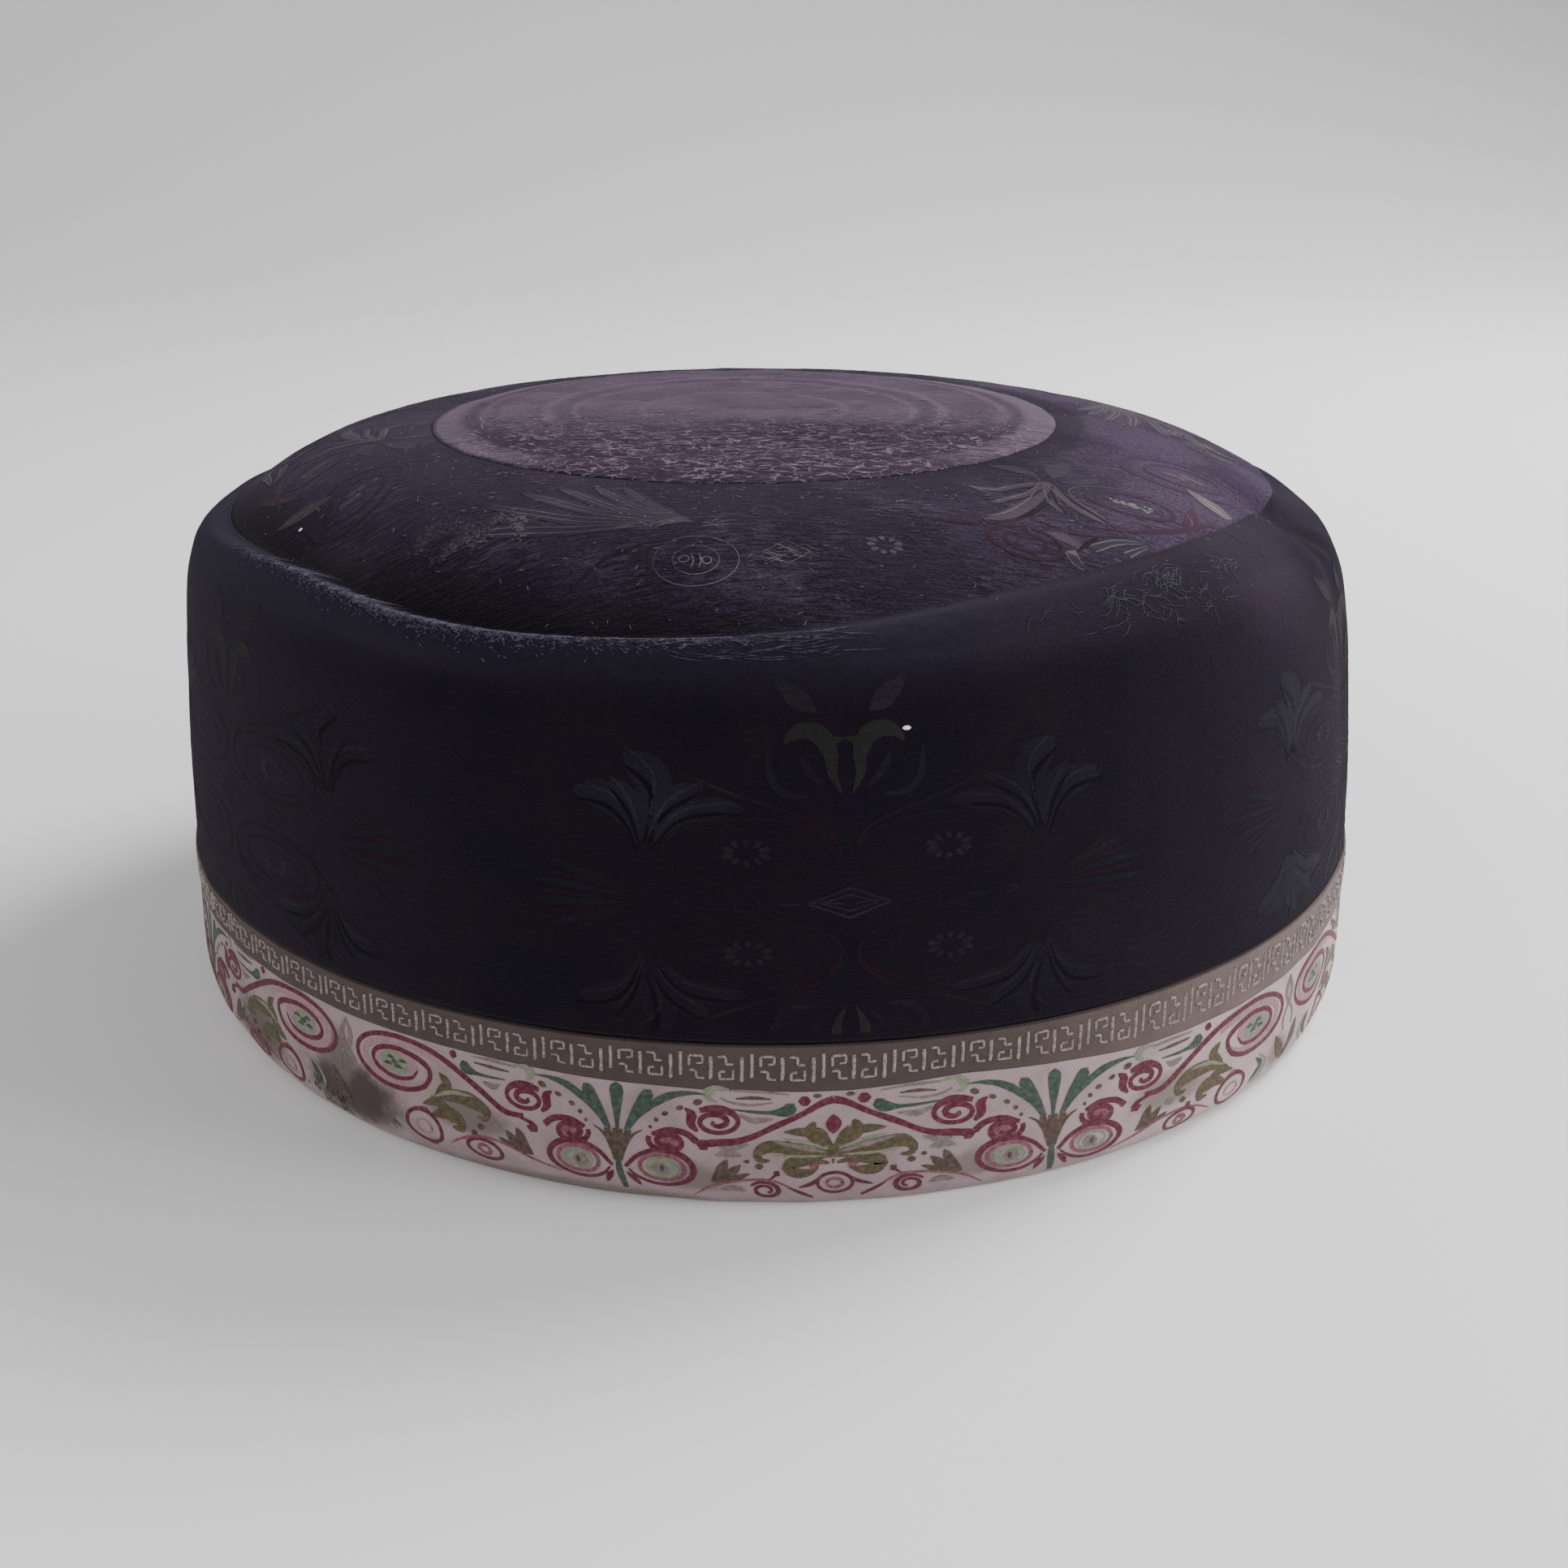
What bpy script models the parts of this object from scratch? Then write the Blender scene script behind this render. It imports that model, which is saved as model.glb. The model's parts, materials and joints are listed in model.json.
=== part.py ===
"""Round velvet prayer cap with a printed hem band.

Metres, +Z up. The cap stands on its hem in the plane z = 0, centred on the Z axis, front towards -Y.
Azimuth is counted in degrees from the front, positive towards +X.
"""
import math
from collections import namedtuple

import bmesh
import bpy
import numpy as np

# Driving dimensions of the cap
HEM_RADIUS = 0.0945
CAP_HEIGHT = 0.0872
BAND_TOP = 0.0240
RIBBON_WIDTH = 0.0065
MEDALLION_RADIUS = 0.0490
MEDALLION_SHIFT = -0.0019

# Cloth
WALL_THICKNESS = 0.0018
CROWN_THICKNESS = 0.0018
MEDALLION_THICKNESS = 0.0010
TRIM_THICKNESS = 0.0010
CLOTH_GAP = 0.0003

# Crown dome: height above the seam follows a power of the radius, so that its top is nearly flat
DOME_TOP = CAP_HEIGHT - CLOTH_GAP - MEDALLION_THICKNESS
SEAM_RADIUS = 0.0834
SEAM_HEIGHT = 0.0752
DOME_POWER = 5.6
DOME_START_RADIUS = 0.0864

# The cap leans to one side, more towards the top, and its hem is pushed a little to the other side
LEAN = 0.0026
LEAN_POWER = 3.5
HEM_SHIFT = 0.0007
HEM_SHIFT_HEIGHT = 0.0070

# The wall's lip: its width from where it swells to its edge, and where its crest lies in that width
LIP_WIDTH = 0.0085
LIP_CREST = 0.60

# Rows of the lip, each a way back from its edge. The crown laps under the last two.
LIP_ROWS = (LIP_WIDTH, 0.0066, 0.0050, 0.0036, 0.0024, 0.0012, 0.0)
LAPPED_ROWS = 2
LAP_CLEARANCE = 0.0008

# Rows of the crown, each a way in from the seam, and how far in the crown is sunk
CROWN_ROWS = (0.0015, 0.0036, 0.0075, 0.0130, 0.0220, 0.0400)
SINK_REACH = 0.024

# Dimple in the right shoulder
DIMPLE_AZIMUTH = 69.0
DIMPLE_RADIUS = 0.0815
DIMPLE_WIDTH = 0.0055
DIMPLE_DEPTH = 0.0018

# Sections in a full turn
AROUND = 72

# Outer form of the side, from just above the band to where the dome's formula takes over
SideRow = namedtuple("SideRow", "place radius height")
SIDE_ROWS = (
    SideRow("above band", 0.0941, 0.0250),
    SideRow("low belly", 0.0937, 0.0340),
    SideRow("belly", 0.0928, 0.0463),
    SideRow("chest", 0.0920, 0.0550),
    SideRow("upper side", 0.0908, 0.0636),
    SideRow("turn", 0.0897, 0.0680),
    SideRow("shoulder", 0.0882, 0.0712),
)

# The seam between wall and crown: its radius, the lip's rise above the outer form, the roll of the
# lip's edge down into the seam, and how far the crown is sunk behind it
SeamRow = namedtuple("SeamRow", "azimuth radius rise roll sink")
SEAM_ROWS = (
    SeamRow(-150.0, 0.0832, 0.0003, 0.0008, 0.0004),
    SeamRow(-110.0, 0.0836, 0.0001, 0.0010, 0.0006),
    SeamRow(-74.0, 0.0834, 0.0005, 0.0016, 0.0016),
    SeamRow(-50.0, 0.0820, 0.0018, 0.0034, 0.0036),
    SeamRow(-26.0, 0.0843, 0.0016, 0.0036, 0.0040),
    SeamRow(0.0, 0.0830, 0.0010, 0.0024, 0.0030),
    SeamRow(24.0, 0.0796, 0.0005, 0.0010, 0.0016),
    SeamRow(50.0, 0.0782, 0.0002, 0.0004, 0.0005),
    SeamRow(76.0, 0.0798, 0.0001, 0.0004, 0.0002),
    SeamRow(112.0, 0.0815, 0.0001, 0.0006, 0.0002),
    SeamRow(165.0, 0.0828, 0.0003, 0.0008, 0.0003),
)

# Sections of the wall's foot, which the trim covers, and of the trim itself
FoldRow = namedtuple("FoldRow", "place radius height")
WALL_FOOT_ROWS = (
    FoldRow("hem edge", 0.0916, 0.0018),
    FoldRow("hem turn", 0.0924, 0.0036),
    FoldRow("under band", 0.0930, 0.0068),
    FoldRow("under ribbon", 0.0930, BAND_TOP + CLOTH_GAP),
)
BAND_ROWS = (
    FoldRow("upper edge", 0.0943, BAND_TOP - RIBBON_WIDTH - CLOTH_GAP),
    FoldRow("widest", HEM_RADIUS, 0.0068),
    FoldRow("turn under", 0.0938, 0.0032),
    FoldRow("low turn", 0.0928, 0.0010),
    FoldRow("rest outer", 0.0916, 0.0),
    FoldRow("rest inner", 0.0893, 0.0),
    FoldRow("inner turn", 0.0886, 0.0010),
    FoldRow("inner leg", 0.0892, 0.0060),
    FoldRow("inner edge", 0.0895, 0.0100),
)
RIBBON_ROWS = (
    FoldRow("upper edge", 0.0943, BAND_TOP),
    FoldRow("lower edge", 0.0943, BAND_TOP - RIBBON_WIDTH),
)

Finish = namedtuple("Finish", "colour roughness")
WALL_VELVET = Finish((0.028, 0.018, 0.034), 0.95)
CROWN_VELVET = Finish((0.050, 0.034, 0.058), 0.95)
MEDALLION_WEAVE = Finish((0.150, 0.118, 0.170), 0.90)
RIBBON_TAUPE = Finish((0.190, 0.145, 0.130), 0.85)
BAND_COTTON = Finish((0.420, 0.330, 0.340), 0.85)


def clear_scene():
    for thing in list(bpy.data.objects):
        bpy.data.objects.remove(thing, do_unlink=True)


def smooth(share):
    """Ease from 0 to 1 with level ends."""
    share = min(1.0, max(0.0, share))
    return share * share * (3.0 - 2.0 * share)


def dome_height(radius):
    return SEAM_HEIGHT + (DOME_TOP - SEAM_HEIGHT) * (1.0 - (radius / SEAM_RADIUS) ** DOME_POWER)


def outer_form():
    """The smooth outer form above the trim: way along it, radius and height, as arrays."""
    dome_radii = np.linspace(DOME_START_RADIUS, 0.0, 200)
    radii = np.concatenate([[row.radius for row in SIDE_ROWS], dome_radii])
    heights = np.concatenate([[row.height for row in SIDE_ROWS], dome_height(dome_radii)])
    way = np.concatenate([[0.0], np.cumsum(np.hypot(np.diff(radii), np.diff(heights)))])
    return way, radii, heights


WAY, FORM_RADII, FORM_HEIGHTS = outer_form()
UPPER_SIDE_WAY = WAY[4]


def way_at_radius(radius):
    """The radius falls all the way up the form, so each radius has one place on it."""
    return float(np.interp(-radius, -FORM_RADII, WAY))


def form_point(way):
    return np.array([np.interp(way, WAY, FORM_RADII), np.interp(way, WAY, FORM_HEIGHTS)])


def square_out(along):
    """The direction square to a line that runs up the outside, pointing out of the cap."""
    return np.array([along[1], -along[0]]) / np.hypot(*along)


def form_normal(way, step=0.0008):
    return square_out(form_point(way + step) - form_point(way - step))


def seam_at(azimuth):
    """The seam's sizes at one azimuth, on a smooth closed curve through the table's rows."""
    azimuth = (azimuth - SEAM_ROWS[0].azimuth) % 360.0 + SEAM_ROWS[0].azimuth
    last = max(i for i, row in enumerate(SEAM_ROWS) if row.azimuth <= azimuth)
    near = [SEAM_ROWS[(last + i) % len(SEAM_ROWS)] for i in (-1, 0, 1, 2)]
    angles = [row.azimuth for row in near]
    angles[0] -= 360.0 if angles[0] > azimuth else 0.0
    angles[2] += 360.0 if angles[2] <= azimuth else 0.0
    angles[3] += 360.0 if angles[3] <= azimuth else 0.0
    span = angles[2] - angles[1]
    t = (azimuth - angles[1]) / span
    sizes = np.array([row[1:] for row in near])
    leaving = (sizes[2] - sizes[0]) / (angles[2] - angles[0]) * span
    arriving = (sizes[3] - sizes[1]) / (angles[3] - angles[1]) * span
    mixed = (2 * t**3 - 3 * t**2 + 1) * sizes[1] + (3 * t**2 - 2 * t**3) * sizes[2]
    mixed += (t**3 - 2 * t**2 + t) * leaving + (t**3 - t**2) * arriving
    return SeamRow(azimuth, *mixed)


def dimple(azimuth, radius):
    """Depth of the small dent in the right shoulder."""
    turn = math.radians((azimuth - DIMPLE_AZIMUTH + 180.0) % 360.0 - 180.0)
    distance = math.hypot(turn * DIMPLE_RADIUS, radius - DIMPLE_RADIUS)
    return DIMPLE_DEPTH * math.exp(-((distance / DIMPLE_WIDTH) ** 2))


def lip_point(azimuth, from_edge):
    """A point of the lip's outer face, a way back from the wall's edge at the seam."""
    seam = seam_at(azimuth)
    way = way_at_radius(seam.radius) - from_edge
    share = 1.0 - from_edge / LIP_WIDTH
    past_crest = smooth((share - LIP_CREST) / (1.0 - LIP_CREST))
    lift = seam.rise * smooth(share / LIP_CREST) - (seam.roll + seam.rise * 0.5) * past_crest**1.5
    point = form_point(way)
    return point + form_normal(way) * (lift - dimple(azimuth, point[0]))


def crown_point(azimuth, from_seam):
    """A point of the crown's outer face, a way in from the seam towards the middle."""
    seam = seam_at(azimuth)
    way = way_at_radius(seam.radius) + from_seam
    sunk = seam.sink * (1.0 - smooth(from_seam / SINK_REACH))
    point = form_point(way)
    return point - form_normal(way) * (sunk + dimple(azimuth, point[0]))


def inset(line, depth):
    """A line moved into the cap by a depth, square to itself."""
    moved = []
    for i, point in enumerate(line):
        along = line[min(i + 1, len(line) - 1)] - line[max(i - 1, 0)]
        moved.append(point - square_out(along) * depth)
    return moved


def wall_line(azimuth, lip_rows=LIP_ROWS):
    """The side's outer face: the foot under the trim, the belly, the shoulder and the lip."""
    lip_way = way_at_radius(seam_at(azimuth).radius) - LIP_WIDTH
    line = [np.array([row.radius, row.height]) for row in WALL_FOOT_ROWS]
    line += [form_point(way) for way in np.linspace(0.0, UPPER_SIDE_WAY, 4)]
    line.append(form_point(0.5 * (UPPER_SIDE_WAY + lip_way)))
    return line + [lip_point(azimuth, from_edge) for from_edge in lip_rows]


def wall_section(azimuth):
    line = wall_line(azimuth)
    return line + inset(line, WALL_THICKNESS)[::-1]


def crown_section(azimuth):
    """From the middle out to the seam, on under the lip, and back underneath to the middle."""
    under_lip = inset(wall_line(azimuth, (*LIP_ROWS, -LAP_CLEARANCE)), WALL_THICKNESS + CLOTH_GAP)
    half_width = WAY[-1] - way_at_radius(seam_at(azimuth).radius)
    dome = [crown_point(azimuth, from_seam) for from_seam in (*CROWN_ROWS, half_width)]
    line = under_lip[-LAPPED_ROWS - 1:] + dome
    under = inset(line, CROWN_THICKNESS)
    line[-1][0] = 0.0
    under[-1][0] = 0.0
    return line[::-1] + under


def medallion_section(azimuth):
    """A thin disc that follows the dome, from its own middle out and back underneath."""
    turn = math.radians(azimuth)
    line = []
    for share in (0.0, 0.45, 0.80, 1.0):
        radius = share * MEDALLION_RADIUS
        crown_radius = math.hypot(radius * math.sin(turn) + MEDALLION_SHIFT, radius * math.cos(turn))
        line.append(np.array([radius, dome_height(crown_radius) + CLOTH_GAP]))
    top = [point + (0.0, MEDALLION_THICKNESS) for point in line]
    return top + line[::-1]


def folded_section(rows):
    """The closed section of a strip of trim, its thickness laid to the inside."""
    line = [np.array([row.radius, row.height]) for row in rows][::-1]
    return lambda azimuth: line + inset(line, TRIM_THICKNESS)[::-1]


def set_out(point, azimuth, shift):
    """A section's point at its azimuth, with the cap's lean and the push at its hem."""
    radius, height = point
    turn = math.radians(azimuth)
    lean = LEAN * max(0.0, height / CAP_HEIGHT) ** LEAN_POWER
    push = HEM_SHIFT * (1.0 - smooth(height / HEM_SHIFT_HEIGHT))
    return (radius * math.sin(turn) - lean + push + shift, -radius * math.cos(turn), height)


def loft_around(name, section, ring=True, shift=0.0):
    """Join the sections all the way round into one closed body.

    A ring's section is closed. A disc's section runs from the axis out and back to the axis.
    """
    shape = bmesh.new()
    azimuths = [360.0 * i / AROUND for i in range(AROUND)]
    lines = [[shape.verts.new(set_out(point, a, shift)) for point in section(a)] for a in azimuths]
    rows = len(lines[0])
    for line, following in zip(lines, lines[1:] + lines[:1]):
        for j in range(rows if ring else rows - 1):
            k = (j + 1) % rows
            shape.faces.new((line[j], following[j], following[k], line[k]))
    bmesh.ops.remove_doubles(shape, verts=shape.verts, dist=1e-6)
    bmesh.ops.recalc_face_normals(shape, faces=shape.faces)
    mesh = bpy.data.meshes.new(name)
    shape.to_mesh(mesh)
    shape.free()
    return bpy.data.objects.new(name, mesh)


def make_material(name, finish):
    material = bpy.data.materials.new(name)
    material.use_nodes = True
    shader = material.node_tree.nodes["Principled BSDF"]
    shader.inputs["Base Color"].default_value = (*finish.colour, 1.0)
    shader.inputs["Roughness"].default_value = finish.roughness
    shader.inputs["Metallic"].default_value = 0.0
    return material


def dress(thing, finish, collection, root):
    thing.data.materials.append(make_material(thing.name + "_cloth", finish))
    thing.data.shade_smooth()
    thing.data.set_sharp_from_angle(angle=math.radians(50.0))
    collection.objects.link(thing)
    thing.parent = root


def main():
    clear_scene()
    collection = bpy.data.collections.new("prayer_cap")
    bpy.context.scene.collection.children.link(collection)
    root = bpy.data.objects.new("prayer_cap_root", None)
    collection.objects.link(root)
    dress(loft_around("wall", wall_section), WALL_VELVET, collection, root)
    dress(loft_around("crown", crown_section, ring=False), CROWN_VELVET, collection, root)
    medallion = loft_around("crown_medallion", medallion_section, ring=False, shift=MEDALLION_SHIFT)
    dress(medallion, MEDALLION_WEAVE, collection, root)
    dress(loft_around("key_ribbon", folded_section(RIBBON_ROWS)), RIBBON_TAUPE, collection, root)
    dress(loft_around("scroll_band", folded_section(BAND_ROWS)), BAND_COTTON, collection, root)


main()
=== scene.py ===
"""Looks of a round velvet prayer cap: a Blender add-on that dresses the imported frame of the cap.

Metres, +Z up. The front faces -Y, and azimuth is counted in degrees from the front, positive
towards +X. The cloth is modelled on one outer form, the same as the frame's, on which a place is an
azimuth and a way up from the top of the hem band. Ornament is drawn flat in millimetres, stroke by
stroke, and then laid on the cloth.
"""
import json
import math
import random
from collections import namedtuple

import bmesh
import bpy
import numpy as np
from mathutils import Matrix, Vector, noise

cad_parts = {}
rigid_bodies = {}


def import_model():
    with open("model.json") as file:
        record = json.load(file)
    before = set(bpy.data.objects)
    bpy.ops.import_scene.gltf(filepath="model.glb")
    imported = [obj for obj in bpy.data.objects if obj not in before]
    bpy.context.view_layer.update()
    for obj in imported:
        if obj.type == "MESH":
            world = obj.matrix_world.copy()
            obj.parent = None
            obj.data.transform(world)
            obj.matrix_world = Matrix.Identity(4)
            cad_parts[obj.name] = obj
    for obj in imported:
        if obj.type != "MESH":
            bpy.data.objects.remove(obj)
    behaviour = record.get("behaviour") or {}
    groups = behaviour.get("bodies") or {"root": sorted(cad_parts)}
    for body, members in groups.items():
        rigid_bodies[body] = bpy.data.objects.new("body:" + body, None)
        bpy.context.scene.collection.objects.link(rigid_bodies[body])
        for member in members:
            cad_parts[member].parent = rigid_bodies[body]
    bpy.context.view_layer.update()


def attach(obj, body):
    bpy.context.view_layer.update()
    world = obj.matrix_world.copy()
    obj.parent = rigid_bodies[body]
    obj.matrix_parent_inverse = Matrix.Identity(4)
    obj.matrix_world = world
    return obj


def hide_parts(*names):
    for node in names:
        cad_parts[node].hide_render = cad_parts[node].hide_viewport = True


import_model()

bl_info = {
    "name": "Round velvet prayer cap",
    "version": (1, 0, 0),
    "blender": (4, 5, 0),
    "location": "View3D > Sidebar > Cap",
    "description": "Dresses the frame of a velvet prayer cap with cloth, ornament and a plain stage",
    "category": "Object",
}

MM = 0.001

# Form of the cap, as in the frame
CAP_HEIGHT = 0.0872
BAND_TOP = 0.0240
MEDALLION_RADIUS = 0.0490
MEDALLION_SHIFT = -0.0019
WALL_THICKNESS = 0.0018
CROWN_THICKNESS = 0.0018
MEDALLION_THICKNESS = 0.0010
TRIM_THICKNESS = 0.0010
CLOTH_GAP = 0.0003
DOME_TOP = CAP_HEIGHT - CLOTH_GAP - MEDALLION_THICKNESS
SEAM_RADIUS = 0.0834
SEAM_HEIGHT = 0.0752
DOME_POWER = 5.6
DOME_START_RADIUS = 0.0864
LEAN = 0.0026
LEAN_POWER = 3.5
HEM_SHIFT = 0.0007
HEM_SHIFT_HEIGHT = 0.0070
LIP_WIDTH = 0.0085
LIP_CREST = 0.60
LAP_WIDTH = 0.0024
SINK_REACH = 0.024
DIMPLE_AZIMUTH = 69.0
DIMPLE_RADIUS = 0.0815
DIMPLE_WIDTH = 0.0055
DIMPLE_DEPTH = 0.0018

# Radius and height up the side, from just above the band
SIDE = ((94.1, 25.0), (93.7, 34.0), (92.8, 46.3), (92.0, 55.0), (90.8, 63.6), (89.7, 68.0), (88.2, 71.2))

# Seam between wall and crown: azimuth, radius, rise of the lip, roll of its edge, sink of the crown
SEAM = (
    (-150.0, 83.2, 0.3, 0.8, 0.4),
    (-110.0, 83.6, 0.1, 1.0, 0.6),
    (-74.0, 83.4, 0.5, 1.6, 1.6),
    (-50.0, 82.0, 1.8, 3.4, 3.6),
    (-26.0, 84.3, 1.6, 3.6, 4.0),
    (0.0, 83.0, 1.0, 2.4, 3.0),
    (24.0, 79.6, 0.5, 1.0, 1.6),
    (50.0, 78.2, 0.2, 0.4, 0.5),
    (76.0, 79.8, 0.1, 0.4, 0.2),
    (112.0, 81.5, 0.1, 0.6, 0.2),
    (165.0, 82.8, 0.3, 0.8, 0.3),
)

# Radius and height down the outside of the trim, under the hem and up the inside of the fold
FOLD = ((94.3, 17.2), (94.5, 6.8), (93.8, 3.2), (92.8, 1.0), (91.6, 0.0), (89.3, 0.0), (88.6, 1.0),
        (89.2, 6.0), (89.5, 10.0))

# Radius and height up the wall's foot, behind the band
WALL_FOOT = ((91.6, 1.8), (92.4, 3.6), (93.0, 6.8), (93.0, 16.0), (93.0, 23.6), (93.5, 24.2), (94.05, 24.5))

# Millimetres once round the hem, and how many steps a turned mesh takes round the cap
TURN = 2.0 * math.pi * 0.0945 / MM
AROUND = 400


def smooth(share):
    """Ease from 0 to 1 with level ends, for numbers or arrays."""
    share = np.clip(share, 0.0, 1.0)
    return share * share * (3.0 - 2.0 * share)


def run_along(line):
    """Distance along a line of places, from its start."""
    return np.concatenate([[0.0], np.cumsum(np.hypot(*np.diff(line, axis=0).T))])


def eased_line(points, steps):
    """A smooth line through points, by the Catmull-Rom rule, with steps to a span."""
    points = np.asarray(points, float)
    padded = np.vstack([2 * points[0] - points[1], points, 2 * points[-1] - points[-2]])
    t = np.arange(steps)[:, None] / steps
    out = []
    for p0, p1, p2, p3 in zip(padded, padded[1:], padded[2:], padded[3:]):
        out.append(0.5 * (2 * p1 + (p2 - p0) * t + (2 * p0 - 5 * p1 + 4 * p2 - p3) * t**2
                          + (3 * p1 - p0 - 3 * p2 + p3) * t**3))
    return np.vstack(out + [points[-1:]])


def dome_height(radius):
    return SEAM_HEIGHT + (DOME_TOP - SEAM_HEIGHT) * (1.0 - (radius / SEAM_RADIUS) ** DOME_POWER)


def outer_form():
    """Way, radius and height along the outer form, and the direction out of it."""
    radii = np.linspace(DOME_START_RADIUS, 0.0, 300)
    dome = np.stack([radii, dome_height(radii)], -1)
    side = eased_line(np.vstack([np.array(SIDE) * MM, dome[:1]]), 12)
    line = np.vstack([side[:-1], dome])
    way = run_along(line)
    along = np.gradient(line, axis=0)
    out = np.stack([along[:, 1], -along[:, 0]], -1) / np.hypot(*along.T)[:, None]
    return way, line, out


WAY, FORM, FORM_OUT = outer_form()


def seam_curves():
    """The seam's sizes at every half degree, on a smooth closed curve through the table."""
    table = np.array(SEAM)
    table = np.vstack([table[-2:] - (360, 0, 0, 0, 0), table, table[:2] + (360, 0, 0, 0, 0)])
    slope = (table[2:, 1:] - table[:-2, 1:]) / (table[2:, :1] - table[:-2, :1])
    knots = table[1:-1]
    azimuths = np.arange(-180.0, 180.0, 0.5)
    last = np.clip(np.searchsorted(knots[:, 0], azimuths, "right") - 1, 0, len(knots) - 2)
    span = knots[last + 1, 0] - knots[last, 0]
    t = ((azimuths - knots[last, 0]) / span)[:, None]
    rows = ((2 * t**3 - 3 * t**2 + 1) * knots[last, 1:] + (3 * t**2 - 2 * t**3) * knots[last + 1, 1:]
            + (t**3 - 2 * t**2 + t) * slope[last] * span[:, None]
            + (t**3 - t**2) * slope[last + 1] * span[:, None])
    return azimuths, rows * MM


SEAM_AZIMUTHS, SEAM_SIZES = seam_curves()


def seam_at(azimuth):
    """Radius, rise, roll and sink of the seam at each azimuth."""
    return [np.interp(azimuth, SEAM_AZIMUTHS, column, period=360.0) for column in SEAM_SIZES.T]


def way_at_radius(radius):
    return np.interp(-radius, -FORM[:, 0], WAY)


def dents(azimuth, radius):
    """Depth of the dimple in the right shoulder and of the small folds that fan out of it."""
    turn = np.radians((azimuth - DIMPLE_AZIMUTH + 180.0) % 360.0 - 180.0) * DIMPLE_RADIUS
    distance = np.hypot(turn, radius - DIMPLE_RADIUS)
    hollow = DIMPLE_DEPTH * np.exp(-((distance / DIMPLE_WIDTH) ** 2))
    angle = np.arctan2(turn, DIMPLE_RADIUS - radius)
    reach = np.exp(-(((distance - 0.008) / 0.006) ** 2))
    folds = 0.00032 * np.sin(angle * 7.0 + 1.2) * reach * smooth((radius - 0.070) / 0.010)
    return hollow + folds


# Soft lumps of the cloth: steps of their grid in degrees and in millimetres, the radius at which they
# are read, and the height and breadth of each size of lump
LUMP_TURN = 3.0
LUMP_STEP = 1.5
LUMP_RADIUS = 90.0
LUMP_SIZES = ((0.20, 15.0), (0.07, 6.0))

# Height of the crown's gathers beside the lip
RUFFLE_HEIGHT = 0.00013


def lump_grid():
    """Height of the cloth's small soft lumps on a grid over the cap, in metres."""
    ways = np.arange(0.0, WAY[-1] / MM + 2 * LUMP_STEP, LUMP_STEP)
    grid = []
    for azimuth in np.arange(-180.0, 181.0, LUMP_TURN):
        turn = math.radians(azimuth)
        x, y = LUMP_RADIUS * math.sin(turn), LUMP_RADIUS * math.cos(turn)
        grid.append([sum(high * noise.noise(Vector((x, y, way)) / broad) for high, broad in LUMP_SIZES)
                     for way in ways])
    return np.array(grid) * MM


LUMPS = lump_grid()


def unevenness(azimuth, way):
    """The lumps at any place, read between the grid's places."""
    way = np.broadcast_to(way, np.broadcast(azimuth, way).shape)
    a = np.clip((azimuth + 180.0) / LUMP_TURN, 0.0, LUMPS.shape[0] - 1.001)
    w = np.clip(way / MM / LUMP_STEP, 0.0, LUMPS.shape[1] - 1.001)
    i, j = a.astype(int), w.astype(int)
    da, dw = a - i, w - j
    return ((LUMPS[i, j] * (1 - dw) + LUMPS[i, j + 1] * dw) * (1 - da)
            + (LUMPS[i + 1, j] * (1 - dw) + LUMPS[i + 1, j + 1] * dw) * da)


def ruffles(azimuth, past_seam):
    """Small gathers of the crown beside the lip, at the front left."""
    turn = np.radians(azimuth)
    wave = np.sin(turn * 58.0 + 7.0 * np.sin(turn * 11.0 + 1.0))
    beside_lip = np.exp(-np.abs(past_seam - 0.002) / 0.004)
    at_front_left = beside_lip * smooth((azimuth + 56) / 20) * smooth((-6 - azimuth) / 16)
    return RUFFLE_HEIGHT * wave * (0.6 + 0.4 * np.sin(turn * 23.0)) * at_front_left


def outer_offset(azimuth, way):
    """How far the cloth stands off the outer form: the lip, the sunk crown, the dents and the lumps."""
    azimuth = (azimuth + 180.0) % 360.0 - 180.0
    radius, rise, roll, sink = seam_at(azimuth)
    past_seam = way - way_at_radius(radius)
    share = 1.0 + past_seam / LIP_WIDTH
    past_crest = smooth((share - LIP_CREST) / (1.0 - LIP_CREST))
    lip = rise * smooth(share / LIP_CREST) - (roll + rise * 0.5) * past_crest**1.5
    sunk = -sink * (1.0 - smooth(past_seam / SINK_REACH)) + ruffles(azimuth, past_seam)
    place_radius = np.interp(way, WAY, FORM[:, 0])
    edge_free = smooth(way / 0.003)
    return (np.where(past_seam <= 0, lip, sunk) - dents(azimuth, place_radius)
            + unevenness(azimuth, way) * edge_free)


def stood(radius, azimuth, height):
    """A place on the cap, with its lean and the push at its hem."""
    turn = np.radians(azimuth)
    lean = LEAN * np.clip(height / CAP_HEIGHT, 0, 1) ** LEAN_POWER
    push = HEM_SHIFT * (1.0 - smooth(height / HEM_SHIFT_HEIGHT))
    return np.stack([radius * np.sin(turn) - lean + push, -radius * np.cos(turn), height + 0 * turn], -1)


def on_velvet(azimuth, way):
    """Places on the outside of the wall and crown."""
    off = outer_offset(azimuth, way)
    radius = np.interp(way, WAY, FORM[:, 0]) + np.interp(way, WAY, FORM_OUT[:, 0]) * off
    height = np.interp(way, WAY, FORM[:, 1]) + np.interp(way, WAY, FORM_OUT[:, 1]) * off
    return stood(radius, azimuth, height)


def trim_line():
    """The outside of ribbon and band as one line, from the ribbon's top down round the hem."""
    line = np.vstack([[[94.3, 24.0], [94.3, 17.6]], eased_line(FOLD, 10)]) * MM
    return run_along(line), line


TRIM_WAY, TRIM = trim_line()


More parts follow.
